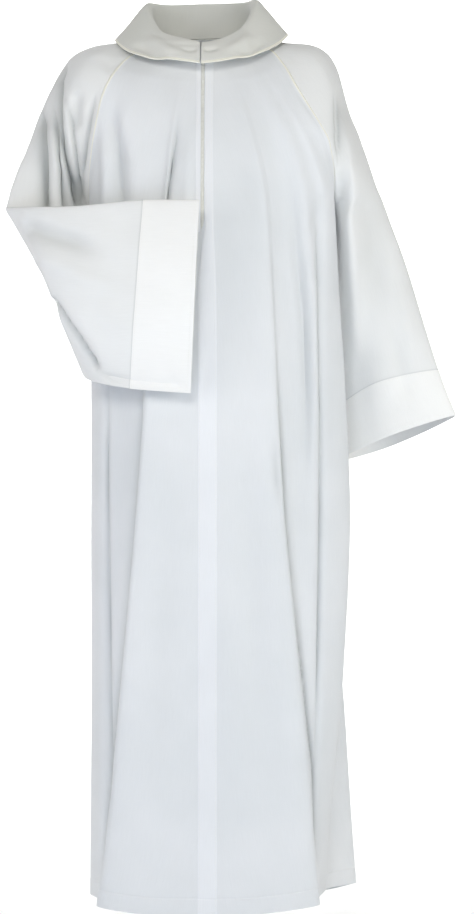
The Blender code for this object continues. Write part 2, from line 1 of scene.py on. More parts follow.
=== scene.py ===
# %% [markdown]
# # A white alb, dressed for the camera
# The alb is a long white robe of plain-woven polyester, shown in the shape it has when it is worn. Its
# solids are already cut: two fronts, a back, raglan sleeves, cuffs, a turned-over collar and a zip. This
# lesson gives each piece a thin cloth skin of the same cut, presses folds into it, sews it, and
# lights it softly. We start from the imported solids, which also tell us how big everything is.

# %% Load the imported solids
import math

import bpy
import numpy as np
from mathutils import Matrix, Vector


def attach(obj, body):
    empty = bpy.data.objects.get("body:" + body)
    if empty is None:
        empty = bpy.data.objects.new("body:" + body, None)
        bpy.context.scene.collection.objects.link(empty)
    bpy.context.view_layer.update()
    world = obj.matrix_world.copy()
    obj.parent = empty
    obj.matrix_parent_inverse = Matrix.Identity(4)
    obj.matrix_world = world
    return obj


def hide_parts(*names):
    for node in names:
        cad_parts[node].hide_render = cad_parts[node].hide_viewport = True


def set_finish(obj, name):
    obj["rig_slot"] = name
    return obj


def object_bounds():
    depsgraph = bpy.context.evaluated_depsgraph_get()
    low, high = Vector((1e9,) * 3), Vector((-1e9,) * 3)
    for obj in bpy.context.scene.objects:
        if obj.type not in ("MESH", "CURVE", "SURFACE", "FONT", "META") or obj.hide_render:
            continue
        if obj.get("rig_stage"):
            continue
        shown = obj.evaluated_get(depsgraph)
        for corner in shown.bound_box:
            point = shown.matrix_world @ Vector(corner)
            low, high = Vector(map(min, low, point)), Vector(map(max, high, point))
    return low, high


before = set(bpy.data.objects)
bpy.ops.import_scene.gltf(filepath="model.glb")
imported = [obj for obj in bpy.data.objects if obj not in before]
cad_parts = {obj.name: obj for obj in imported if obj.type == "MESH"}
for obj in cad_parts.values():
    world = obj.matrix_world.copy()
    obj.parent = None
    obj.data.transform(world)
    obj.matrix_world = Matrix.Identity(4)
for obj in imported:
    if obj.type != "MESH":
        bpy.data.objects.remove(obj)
MM = 0.001
solid_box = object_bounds()
print("nodes:", sorted(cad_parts))

# %% [markdown]
# ## Finishes
# Every colour below is an sRGB hex value, as read off a colour card, and one function turns it into the
# linear numbers that the renderer adds up. One small function adds a node with its settings and links.

# %% Colour and node helpers
def linear(hex_colour):
    """An sRGB hex colour as linear red, green, blue and alpha."""
    parts = [int(hex_colour[i:i + 2], 16) / 255 for i in (1, 3, 5)]
    return tuple(c / 12.92 if c <= 0.04045 else ((c + 0.055) / 1.055) ** 2.4 for c in parts) + (1.0,)


def connect(made, links):
    """Feed a node's sockets. A source is one output, or a node, which then gives its first output."""
    for name, source in links.items():
        socket = int(name[1:]) if name.startswith("_") else name
        made.id_data.links.new(getattr(source, "outputs", [source])[0], made.inputs[socket])


def node(tree, kind, settings=None, **links):
    """Add a node. Settings name its properties or sockets; links name the sockets fed by other nodes.
    A socket that has no name of its own is given by its number, as 1 in settings or _1 in links."""
    made = tree.nodes.new("ShaderNode" + kind)
    for name, value in (settings or {}).items():
        if isinstance(name, int) or name in made.inputs:
            made.inputs[name].default_value = value
        else:
            setattr(made, name, value)
    connect(made, links)
    return made


def map_range(tree, value, low, high, to_low=0.0, to_high=1.0, way="LINEAR"):
    """Turn a value between low and high into one between to_low and to_high."""
    return node(tree, "MapRange", {"interpolation_type": way, "From Min": low, "From Max": high,
                                   "To Min": to_low, "To Max": to_high}, Value=value)


def two_tones(tree, value, dark, light, stops):
    """Wander from a dark colour to a light one as a value goes from the first stop to the last."""
    ramp = node(tree, "ValToRGB", _0=value)
    for element, stop, colour in zip(ramp.color_ramp.elements, stops, (dark, light)):
        element.position, element.color = stop, linear(colour)
    return ramp


def new_material(name, settings):
    """A material, its node tree and its shader, with some of the shader's sockets set."""
    made = bpy.data.materials.new(name)
    made.use_nodes = True
    shader = made.node_tree.nodes["Principled BSDF"]
    for socket, value in settings.items():
        shader.inputs[socket].default_value = value
    return made, made.node_tree, shader


print("white as linear numbers:", linear("#FFFFFF"))

# %% [markdown]
# ## Camera and studio
# The robe is seen square on, from the height of its waist. White cloth shows its folds only where light
# falls off across them. The key lamp stands almost in front and high, and one lamp on each side fills, so
# that a fold shades gently toward both of its flanks. Two small lamps at the sides pick out the long folds
# of the skirt. A weak blue lamp near the floor cools the lower skirt, as daylight from a low window does,
# and a dim world keeps the shadows open. The paper behind has a lamp of its own, with a hood that keeps
# most of its light off the robe's back.
# The floor lies under the hem with a small gap, because a worn robe hangs clear of the ground.

# %% Camera
CAMERA_X, CAMERA_DISTANCE, CAMERA_HEIGHT = 0.060, 3.2, -0.705       # metres, from the neck
LENS = 74.1                                                         # millimetres


def look_at(thing, target):
    """Turn a camera or a lamp to face a point."""
    way = np.subtract(target, thing.location)
    thing.rotation_euler = (math.atan2(math.hypot(way[0], way[1]), -way[2]), 0, math.atan2(-way[0], way[1]))


def add_object(name, data):
    thing = bpy.data.objects.new(name, data)
    bpy.context.scene.collection.objects.link(thing)
    return thing


camera = add_object("camera", bpy.data.cameras.new("camera"))
camera.location = (CAMERA_X, -CAMERA_DISTANCE, CAMERA_HEIGHT)
look_at(camera, (CAMERA_X, 0, CAMERA_HEIGHT))
camera.data.lens = LENS
bpy.context.scene.camera = camera
print("camera at", tuple(camera.location))

# %% Lamps and world
WALL_GLOW, CEILING_GLOW = 0.32, 0.22        # the ceiling is darker than the walls
LAMPS = [
    # name               place                 aim                size  power  spread  colour
    ("key lamp", (-0.35, -3.0, 0.60), (0.0, 0.0, -0.15), 1.0, 29, 180, (1.0, 0.98, 0.935)),
    ("left lamp", (-2.3, -2.4, 0.05), (0.0, 0.0, -0.35), 1.0, 10, 180, (1.0, 0.985, 0.935)),
    ("right lamp", (2.1, -2.6, 0.05), (0.0, 0.0, -0.35), 1.0, 13, 180, (1.0, 0.985, 0.935)),
    ("low lamp", (-0.2, -2.9, -1.40), (0.0, 0.0, -1.30), 1.0, 6, 180, (0.12, 0.46, 1.0)),
    ("right side lamp", (1.7, -1.6, -0.65), (0.22, -0.05, -0.50), 0.8, 15, 180, (1.0, 0.98, 0.92)),
    ("left side lamp", (-2.2, -1.1, -0.85), (-0.2, 0.0, -0.80), 1.0, 11, 180, (1.0, 0.96, 0.96)),
    ("back lamp", (-0.9, 2.2, 1.6), (0.0, 0.3, -0.3), 1.4, 9, 180, (1.0, 1.0, 1.0)),
    ("paper lamp", (0.0, 1.3, 2.6), (0.0, 3.4, 0.2), 3.0, 138, 120, (1.0, 1.0, 1.0)),
]
for name, place, aim, size, power, spread, colour in LAMPS:
    lamp = add_object(name, bpy.data.lights.new(name, "AREA"))
    lamp.data.size, lamp.data.energy, lamp.data.color = size, power, colour
    lamp.data.spread = math.radians(spread)
    lamp.location = place
    look_at(lamp, aim)

world = bpy.data.worlds.new("pale studio")
world.use_nodes = True
tree = world.node_tree
background = tree.nodes["Background"]
background.inputs["Color"].default_value = (0.96, 0.975, 1.0, 1)
height = node(tree, "SeparateXYZ", Vector=node(tree, "TexCoord").outputs["Generated"]).outputs["Z"]
connect(background, {"Strength": map_range(tree, height, -0.3, 0.9, WALL_GLOW, CEILING_GLOW)})
bpy.context.scene.world = world
bpy.context.scene.view_settings.view_transform = "Standard"
print(len(LAMPS), "lamps")

# %% [markdown]
# ### Plain-woven polyester
# The cloth is spun polyester in a plain weave: matt, a little cool in its whiteness, smooth but never
# mirror-flat. Spun fibre scatters light, so it is rough, with a soft sheen at grazing angles. Real threads
# are about 0.3 mm apart, too fine to show here, so the weave is drawn at about 0.9 mm. It follows each
# piece's own grain through its UV map, which is measured in metres along the cloth. Slow changes of tone
# stand for handling, and a faint unevenness stands for cloth that has been worn and pressed. A lighter
# cream band beside the seams is partly pressed yellowing and partly a painted highlight on the raised
# allowances. The weave's gaps are a touch darker with painted shade, and the creases carry painted shade,
# greyer the deeper they are.

# %% Cloth material
SEAM_CREAM_HIGHLIGHT = "#F6F4E7"       # seam allowances yellow a little where pressed, and their raised band is lighter as a painted highlight
CREASE_SHADE_GREY = "#A6AAA8"         # painted shade that greys the creases
CREASE_SHADE_SHARE = 0.65             # how much of that painted shade the deepest crease takes
NEAR_SEAM = 20.0                # millimetres over which a mesh's near_seam falls from 1 to 0
SEAM_BAND_WIDTH = 5.2
SEAM_BAND_FROM = 1 - SEAM_BAND_WIDTH / NEAR_SEAM
SEAM_BAND_EDGE = (-0.07, 0.05)    # the cream and painted highlight fade in over this part of near_seam
THREAD_PITCH = 0.9 * MM         # drawn three times coarser than real threads
POLYESTER_IOR = 1.55


def woven_cloth(name, light, shade, roughness, sheen, slub=0.3, rumple=0.25):
    """Woven cloth: light and shade are the two tones that it wanders between."""
    made, tree, shader = new_material(name, {"IOR": POLYESTER_IOR, "Specular IOR Level": 0.28,
                                             "Sheen Weight": sheen, "Sheen Roughness": 0.45})
    grain = node(tree, "UVMap", {"uv_map": "grain"})
    place = node(tree, "TexCoord").outputs["Object"]

    # warp and weft: ridges along each direction, offset so that they pass over and under
    split, turn = node(tree, "SeparateXYZ", Vector=grain), math.pi / THREAD_PITCH
    angles = [node(tree, "Math", {"operation": "MULTIPLY", 1: turn}, _0=split.outputs[way]) for way in "XY"]
    waves = [node(tree, "Math", {"operation": "SINE"}, _0=angle) for angle in angles]
    weave = node(tree, "Math", {"operation": "MULTIPLY"}, _0=waves[0], _1=waves[1])

    # slubs: threads that are a little thicker for a few centimetres
    stretched = node(tree, "Mapping", {"Scale": (900.0, 30.0, 1.0)}, Vector=grain)
    slubs = node(tree, "TexNoise", {"Scale": 1.0, "Detail": 2.0}, Vector=stretched)
    rumples = node(tree, "TexNoise", {"Scale": 16.0, "Detail": 4.0, "Roughness": 0.5}, Vector=place)
    handling = node(tree, "TexNoise", {"Scale": 3.2, "Detail": 3.0, "Roughness": 0.6}, Vector=place)

    # the tone: handling, then thread by thread with painted shade in the weave's gaps, then the seam band of
    # cream and painted highlight, and the painted shade of the creases
    tone = two_tones(tree, handling, shade, light, (0.36, 0.62))
    thread_tone = map_range(tree, slubs, 0.3, 0.7, 0.975, 1.0)
    # painted shade between the threads
    weave_gap_shade = map_range(tree, weave, -1.0, 1.0, 0.98, 1.0)
    both = node(tree, "Math", {"operation": "MULTIPLY"}, _0=thread_tone, _1=weave_gap_shade)
    # beside the seams: partly pressed yellowing, partly a painted highlight on the raised allowances
    near_seam = node(tree, "Attribute", {"attribute_name": "near_seam"}).outputs["Fac"]
    pressed = map_range(tree, near_seam, *(SEAM_BAND_FROM + edge for edge in SEAM_BAND_EDGE))
    seam_tone = node(tree, "Mix", {"data_type": "RGBA", 7: linear(SEAM_CREAM_HIGHLIGHT)}, _0=pressed, _6=tone)
    # painted shade in the creases: the deeper a crease, the greyer its colour
    creased = node(tree, "Attribute", {"attribute_name": "in_crease"}).outputs["Fac"]
    crease_shade = node(tree, "Math", {"operation": "MULTIPLY", 1: CREASE_SHADE_SHARE}, _0=creased)
    crease_shade_tone = node(tree, "Mix", {"data_type": "RGBA", 7: linear(CREASE_SHADE_GREY)}, _0=crease_shade,
                       _6=seam_tone.outputs[2])
    colour = node(tree, "VectorMath", {"operation": "SCALE"}, Vector=crease_shade_tone.outputs[2], Scale=both)
    rough = map_range(tree, rumples, 0.0, 1.0, roughness - 0.05, roughness + 0.06)

    weave_bump = node(tree, "Bump", {"Strength": 0.4, "Distance": 0.0001}, Height=weave)
    slub_bump = node(tree, "Bump", {"Strength": slub, "Distance": 0.0002}, Height=slubs, Normal=weave_bump)
    rumple_bump = node(tree, "Bump", {"Strength": rumple, "Distance": 0.006}, Height=rumples,
                       Normal=slub_bump)
    connect(shader, {"Base Color": colour, "Roughness": rough, "Normal": rumple_bump})
    return made


# Sleeves and cuffs are toned lighter than the body as painted light, and the collar darker as painted shade; the
# cuffs' doubled cloth is also a little brighter of itself.
body_cloth = woven_cloth("plain-woven polyester, cool white", "#E8EAEC", "#E1E4E6", 0.74, 0.12)
sleeve_cloth = woven_cloth("plain-woven polyester, neutral white", "#EEEFEE", "#E7E8E7", 0.74, 0.12)
collar_cloth = woven_cloth("doubled polyester, cream white", "#E2E2DC", "#D6D7D0", 0.72, 0.12, 0.7)
cuff_cloth = woven_cloth("doubled polyester, bright white", "#F8F8F6", "#F3F3F1", 0.72, 0.12, 0.7)
fly_cloth = woven_cloth("pressed polyester strip, clean white", "#EFF1F4", "#E9EBEE", 0.66, 0.1, 0.4, 0.1)
print("cloths:", [m.name for m in bpy.data.materials if "polyester" in m.name])

# %% [markdown]
# ## The cut, as curves
# Every piece is a grid of points: rows go down the garment or out along a sleeve, columns go round it.
# Two fold lines and the smooth curve between them are enough to describe a hanging cloth, so each piece
# needs only a short table of its fold lines. The same tables cut the solids; here they are read at many
# more places. A tight curve keeps between the values it joins, which stops a panel from bulging where
# its folds change quickly. A table is written as plain rows: a name where it helps, a bar, and numbers.

# %% Tables and curves
def numbers(text):
    """The numbers of a written table, row by row, without the names before the bars."""
    return np.array([row.split("|")[-1].split() for row in text.strip().splitlines()], float)


def smooth(knots, values, at, tight=False):
    """Read the smooth curve through values at knots, at the places in at."""
    knots, values, at = (np.asarray(item, float) for item in (knots, values, at))
    gaps = np.diff(knots).reshape((-1,) + (1,) * (values.ndim - 1))
    slopes = np.gradient(values, knots, axis=0)
    if tight:
        rise = np.diff(values, axis=0) / gaps
        before, after = rise[:-1], rise[1:]
        near, far = 2 * gaps[1:] + gaps[:-1], gaps[1:] + 2 * gaps[:-1]
        same_way = before * after > 0
        safe = [np.where(same_way, side, 1) for side in (before, after)]
        slopes[1:-1] = np.where(same_way, (near + far) / (near / safe[0] + far / safe[1]), 0)
    span = np.clip(np.searchsorted(knots, at, side="right") - 1, 0, len(knots) - 2)
    width = gaps[span]
    t = (at - knots[span]).reshape(width.shape) / width
    return ((1 + 2 * t) * (1 - t) ** 2 * values[span] + t * (1 - t) ** 2 * width * slopes[span]
            + t ** 2 * (3 - 2 * t) * values[span + 1] + t ** 2 * (t - 1) * width * slopes[span + 1])


NEAR_EDGE = (0.03, 0.08, 0.16)      # extra places beside a sewn edge, as parts of a span


def places_between(count, steps):
    """Places along a row of count points: equal steps between neighbours, and a few more beside each end."""
    last, near = count - 1, np.array(NEAR_EDGE)
    return np.unique(np.round(np.concatenate([np.linspace(0, last, last * steps + 1), near, last - near]), 6))


def lengths(points, power=1.0):
    """Running length along a line of points, each step raised to power."""
    steps = np.linalg.norm(np.diff(points, axis=0), axis=1) ** power
    return np.append(0.0, np.cumsum(steps))


def across(points, steps):
    """A section: a smooth curve through its fold points, read so that columns stay in line."""
    points = np.asarray(points, float)
    knots = lengths(points, 0.5)
    return smooth(knots, points, np.interp(places_between(len(knots), steps), range(len(knots)), knots))


def unit(vectors):
    return vectors / np.maximum(np.linalg.norm(vectors, axis=-1, keepdims=True), 1e-9)


def facing_of(grid):
    """The outward direction at each point of a grid."""
    down, over = np.gradient(grid, axis=0), np.gradient(grid, axis=1)
    return unit(np.cross(down, over))


print("curve through 0, 1, 0 at 0.5:", smooth([0, 1, 2], [0, 1, 0], [0.5]))

# %% [markdown]
# ## The body's cut
# Two fronts and a back, joined to the sleeves by raglan seams. The yoke, from neckline to underarm, is a
# stack of arcs between the centre line and the raglan seam. Below it the cloth falls in folds that grow
# towards the hem; each is a named line with its place at five levels. Sizes are millimetres.

# %% Sizes and levels
CHEST, HIP, THIGH, KNEE, HEM = -300.0, -620.0, -800.0, -1050.0, -1437.0
LEVELS = (CHEST, HIP, THIGH, KNEE, HEM)
ZIP_END = -340.0
HEM_DEPTH = 27.0            # the turned-up hem

NECK_HALF_WIDTH = 82.0
NECK_FRONT, NECK_BACK = -82.0, 72.0
NECK_Z_FRONT, NECK_Z_SIDE, NECK_Z_BACK = -48.0, 12.0, 20.0
FRONT_SEAM_ANGLE, SHOULDER_ANGLE, BACK_SEAM_ANGLE = 58.0, 93.0, 128.0
LEFT, RIGHT = 1, -1         # the wearer's sides

# %% Yoke rows, from the neckline to the underarm
# A row is y and z on the centre line, x, y and z on the left seam and on the right seam, the arc's turn in
# degrees, and the share of the chest's folds in it.
FRONT_YOKE = numbers(f"""
 -90  -66  112  -50  -22  -116 -52  -32  60    0
-101  -88  139  -77  -53  -140 -79  -60  60 0.05
-112 -112  159  -98  -92  -153 -94  -83  60  0.1
-122 -138  180 -106 -128  -164 -99 -110  62 0.25
-131 -164  199 -108 -160  -173 -99 -151  65 0.45
-139 -195  213 -100 -187  -181 -88 -200  70  0.7
-147 -245  221  -60 -245  -187 -52 -255  80  0.9
-149 -275  222  -24 -278  -188 -20 -282  86 0.96
-150 {CHEST}  217   10 {CHEST}  -183   8 {CHEST}  90    1
""")
BACK_YOKE = numbers(f"""
 80    8  112 58   -6  -114 58  -10  60   0
 88  -12  140 76  -40  -138 76  -42  60   0
 97  -42  160 90  -80  -152 88  -80  60   0
104  -78  178 97 -118  -163 93 -115  62 0.1
109 -115  194 97 -152  -172 92 -152  65 0.2
113 -155  207 90 -186  -180 82 -195  70 0.5
117 -225  219 56 -245  -186 50 -250  80 0.8
118 -265  221 34 -278  -187 30 -282  86 0.9
118 {CHEST}  217 10 {CHEST}  -183  8 {CHEST}  90   1
""")
print("yoke rows:", len(FRONT_YOKE), len(BACK_YOKE))

# %% Fold lines of the skirt
# A row is x and y at the chest, hip, thigh, knee and hem, then z at the hem.
FRONT_LEFT_FOLDS = numbers("""
centre       |   0 -150    0 -160    0 -164    0 -172    0 -186  -1440
band edge    |  20 -150   26 -160   28 -164   28 -172   28 -186  -1440
panel middle |  60 -149   70 -158   74 -162   82 -170   95 -184  -1438
panel edge   | 106 -143  127 -152  138 -156  163 -161  192 -160  -1429
under edge   | 118 -129  126 -132  137 -134  158 -137  186 -134  -1429
pocket       | 145 -112  152 -112  156 -112  160 -114  152 -122  -1432
ridge        | 175 -106  186 -104  186 -104  180 -104  167 -105  -1434
crisp valley | 196  -86  200  -92  199  -94  194  -96  184  -97  -1436
side ridge   | 212  -76  211  -84  212  -86  206  -89  193  -78  -1438
side         | 224  -42  243  -38  250  -38  239  -38  201  -42  -1440
seam         | 217   10  224   12  230   14  226   18  212   12  -1442
""")
FRONT_RIGHT_FOLDS = numbers("""
centre       |    0 -150     0 -160     0 -164     0 -172     0 -186  -1440
panel middle |  -32 -150   -50 -159   -60 -163   -72 -171   -90 -185  -1438
panel edge   |  -58 -147   -91 -154  -105 -158  -127 -162  -165 -160  -1431
under edge   |  -67 -138   -94 -136  -107 -137  -127 -138  -158 -134  -1431
pocket       | -133 -117  -125 -112  -128 -112  -134 -114  -138 -118  -1433
crisp valley | -150 -107  -155  -98  -154  -98  -153  -98  -152  -98  -1435
side ridge   | -166  -96  -166  -88  -166  -88  -166  -86  -168  -80  -1437
side         | -187  -48  -185  -38  -185  -36  -185  -34  -185  -34  -1440
seam         | -183    8  -181    8  -181    8  -181   10  -182   12  -1442
""")
BACK_FOLDS = numbers("""
left seam  |  217  10   224  12   230  14   226  18   212  12  -1442
valley 1   |  212  52   194  40   198  44   206  50   226  44  -1446
ridge 1    |  186  88   174  88   190  94   238  98   268  92  -1450
valley 2   |  156 102   150 106   156 108   182 114   194 120  -1471
ridge 2    |  122 114   124 136   128 146   143 164   152 186  -1468
valley 3   |   88 114    90 118    92 124    99 136   106 152  -1466
ridge 3    |   52 120    52 142    54 154    57 172    60 198  -1466
valley 4   |   12 118    10 128    10 134    10 146    10 165  -1464
ridge 4    |  -32 120   -36 144   -38 156   -41 174   -45 200  -1464
valley 5   |  -72 114   -76 120   -79 128   -84 138   -90 152  -1462
ridge 5    | -106 110  -114 132  -118 144  -125 160  -135 185  -1460
valley 6   | -136  96  -138 100  -141 102  -146 106  -152 112  -1454
ridge 6    | -166  68  -172  70  -175  70  -180  68  -187  62  -1448
right seam | -183   8  -181   8  -181   8  -181  10  -182  12  -1442
""")
print("fold lines:", len(FRONT_LEFT_FOLDS), len(FRONT_RIGHT_FOLDS), len(BACK_FOLDS))

# %% Grids of the three body panels
ACROSS = 8                  # places between neighbouring fold lines
YOKE_STEPS = 8
SKIRT_PITCH = 9.0           # depth of a skirt row
ROW_PITCH = 40.0
LEVEL_ROWS = [len(FRONT_YOKE) + (CHEST - z) / ROW_PITCH for z in LEVELS]
BESIDE_HEM_STITCH = (4, 2, 0.8, 0, -0.8, -2, -4)        # rows near the hem's stitching, in millimetres
ABOVE_HEM_EDGE = (16, 9, 3, 1, 0)
CLEAR_OF_STITCH = 6         # the even rows stop this far above the hem's stitching
SEAM_COLUMNS = {LEFT: slice(2, 5), RIGHT: slice(5, 8)}      # where a yoke row holds each raglan seam


def ring_point(angle, half_width, front, back, height):
    """A point on an oval ring round the neck; angle is in degrees from centre front."""
    turn = math.radians(angle)
    depth = front if math.cos(turn) > 0 else -back
    return np.array([half_width * math.sin(turn), depth * math.cos(turn), height])


def neckline(angle):
    """The point of the neckline at an angle."""
    turn = abs(math.cos(math.radians(angle)))
    low = NECK_Z_FRONT if abs(angle) < 90 else NECK_Z_BACK
    height = NECK_Z_SIDE + (low - NECK_Z_SIDE) * turn
    return ring_point(angle, NECK_HALF_WIDTH, NECK_FRONT, NECK_BACK, height)


def arc(centre, seam, turn, part):
    """Points along a yoke row from the centre line to the seam; part runs from 0 to 1."""
    full = math.radians(turn)
    angle = part * full
    along = np.sin(angle) / math.sin(full)
    round_chest = (1 - np.cos(angle)) / (1 - math.cos(full))
    points = centre + np.outer(round_chest, seam - centre)
    points[:, 0] = seam[0] * along
    return points


def yoke_rows(yoke, folds, side, seam_angle, centre_angle):
    """The yoke's sections of half a panel, from its centre line to its raglan seam."""
    chest = np.column_stack([folds[:, :2], np.full(len(folds), CHEST)])
    part = lengths(chest) / lengths(chest)[-1]

    def plain(row):
        return arc(np.append(0.0, row[:2]), row[SEAM_COLUMNS[side]], row[8], part)

    turn = abs(seam_angle - centre_angle)
    first = arc(neckline(centre_angle), neckline(side * seam_angle), turn, part)
    return [first] + [plain(row) + row[9] * (chest - plain(yoke[-1])) for row in yoke]


def skirt_rows(folds):
    """The sections below the chest; the hem's points have their own heights."""
    heights = [np.full(len(folds), z) for z in LEVELS[1:-1]] + [folds[:, -1]]
    return [np.column_stack([folds[:, 2 * i:2 * i + 2], z]) for i, z in enumerate(heights, 1)]


def row_places():
    """Rows of the body: even, but closer together at the hem's stitching and edge."""
    yoke = np.linspace(0, len(FRONT_YOKE), len(FRONT_YOKE) * YOKE_STEPS + 1)
    hem = np.append(HEM_DEPTH + np.array(BESIDE_HEM_STITCH), ABOVE_HEM_EDGE)
    last = LEVEL_ROWS[-1] - (HEM_DEPTH + CLEAR_OF_STITCH) / ROW_PITCH
    skirt = np.arange(LEVEL_ROWS[0], last, SKIRT_PITCH / ROW_PITCH)[1:]
    return np.unique(np.round(np.concatenate([yoke, skirt, LEVEL_ROWS[-1] - hem / ROW_PITCH]), 5))


def panel(sections):
    """A panel's points: the sections filled out across, then joined down the garment."""
    rows = np.array([across(section, ACROSS) for section in sections])
    knots = list(range(len(FRONT_YOKE) + 1)) + LEVEL_ROWS[1:]
    return smooth(knots, rows, row_places(), tight=True)


print(len(row_places()), "rows from neckline to hem")

# %% Fronts and back
CENTRE_COLUMNS = 2 * ACROSS + len(NEAR_EDGE) + 1    # the columns up to a front's third fold line
ZIP_FADE = (9, 18)          # how far above the zip's end the edges close, and over how many millimetres
EDGE_REACH = 50             # how far from the centre a front's cloth shifts with its edge


def front_panel(folds, side, edge_along_zip, edge_below):
    """A front, with its centre edge shifted to its place beside the zip and below it."""
    grid = panel(yoke_rows(FRONT_YOKE, folds, side, FRONT_SEAM_ANGLE, 0) + skirt_rows(folds))
    closing = np.clip((grid[:, :, 2] - ZIP_END - ZIP_FADE[0]) / ZIP_FADE[1] + 0.5, 0, 1)
    edge = edge_below + (edge_along_zip - edge_below) * closing
    grid[:, :, 0] += edge * np.clip(1 - np.abs(grid[:, :, 0]) / EDGE_REACH, 0, 1)
    return grid


def back_panel():
    """The back is one piece, so its yoke rows are two halves that meet on the centre fold line."""
    middle = int(np.argmin(np.abs(BACK_FOLDS[:, 0])))
    left = yoke_rows(BACK_YOKE, BACK_FOLDS[middle::-1], LEFT, BACK_SEAM_ANGLE, 180)
    right = yoke_rows(BACK_YOKE, BACK_FOLDS[middle:], RIGHT, BACK_SEAM_ANGLE, 180)
    return panel([np.vstack([a[:0:-1], b]) for a, b in zip(left, right)] + skirt_rows(BACK_FOLDS))


front_left = front_panel(FRONT_LEFT_FOLDS, LEFT, 6.6, 1.3)      # the coil shows between the two edges
front_right = front_panel(FRONT_RIGHT_FOLDS, RIGHT, 1.0, 1.0)[:, ::-1]
back = back_panel()
YOKE_END = len(FRONT_YOKE) * YOKE_STEPS             # the row at the underarm
back[YOKE_END:, 0] = front_left[YOKE_END:, -1]
back[YOKE_END:, -1] = front_right[YOKE_END:, 0]
print("front", front_left.shape, "back", back.shape)

# %% [markdown]
# ## The sleeves' cut
# A raglan sleeve runs up to the neckline. Its upper rows reach from the front seam over the arm to the
# back seam; below the underarm each row is a closed loop, flat like an empty sleeve, with a top point and
# an under point. The wearer's left sleeve hangs. The right one is bent at the elbow and lies across the
# front, so its loops turn with it.

# %% Sleeve rows
# A row of the yoke is the top point, then how far the front layer and the back layer stand off the
# straight lines to it. A row below also has the under point, after the top point.
LEFT_SLEEVE_YOKE = numbers("""
140 0   -1   6 -10 0   6 12 0
186 0   -7  10 -16 6  10 16 5
212 0  -19  11 -20 8  11 18 7
229 1  -45  10 -22 8  10 20 7
240 2  -85   9 -23 4   9 21 4
252 3 -125   9 -26 0   9 24 0
268 4 -165   4 -50 0   4 44 0
282 4 -205   2 -64 0   2 56 0
296 4 -245   0 -72 0   0 60 0
""")
LEFT_SLEEVE = numbers("""
underarm  | 306 4 -268  226 13 -328  -14 -64  0  0 57  0
upper arm | 322 4 -310  231 28 -388  -17 -60  0  0 52  0
forearm   | 346 4 -376  232 54 -474  -18 -54  6  4 48  0
cuff seam | 403 4 -557  222 86 -626  -12 -48 14  8 44 -2
cuff edge | 433 4 -634  212 98 -722    0 -46 10  8 48 -8
""")
RIGHT_SLEEVE_YOKE = numbers("""
-142   0   -1   -6 -10 0   -6 12 0
-180   0   -7   -9 -16 6   -9 16 5
-207   0  -18  -11 -19 8  -11 18 7
-228   0  -35  -13 -20 8  -13 19 6
-246   0  -62  -14 -20 4  -14 19 4
-262  -2  -96  -14 -22 0  -14 20 0
-275  -5 -126   -8 -44 0   -8 38 0
-284  -8 -147   -4 -58 0   -4 50 0
-291 -11 -166    0 -62 0    0 54 0
""")
RIGHT_SLEEVE = numbers("""
underarm    | -296  -15 -180  -197    8 -326   4 -56  1  -1  52 0
upper arm   | -302  -22 -198  -208    4 -376   8 -48  3  -2  48 0
above elbow | -314  -38 -232  -210   -8 -470  20 -34  8  -4  34 0
elbow       | -325  -62 -290  -202  -56 -552  40 -12 18   8   6 5
elbow front | -314 -100 -295  -195  -94 -568  34  12 14   6 -14 4
forearm     | -284 -138 -299  -187 -130 -577  12  26  4  -8 -28 0
wrist       | -212 -168 -302  -161 -162 -586   0  20  0   0 -28 0
cuff seam   |  -90 -192 -295  -112 -184 -595   0  14  0   0 -22 0
cuff edge   |    0 -205 -296   -14 -198 -603   0  12  0   0 -20 0
""")
print("sleeve rows:", len(LEFT_SLEEVE_YOKE) + len(LEFT_SLEEVE), len(RIGHT_SLEEVE_YOKE) + len(RIGHT_SLEEVE))

# %% Sleeve grids
SLEEVE_ACROSS = 34
SLEEVE_PITCH = 6.0
CUFF_EDGE_PLACES = (1.0, 3.0, 6.0)      # millimetres inside a cuff's seam and edge
CUFF_ROWS = 10
UNDERARM_GAP = 1.2                      # the sleeve's underarm point lies this far outside the body's


def sleeve_section(start, top, end, front_layer, back_layer):
    """A section from the front edge over the top point to the back edge."""
    return across([start, (start + top) / 2 + front_layer, top, (end + top) / 2 + back_layer, end],
                  SLEEVE_ACROSS)


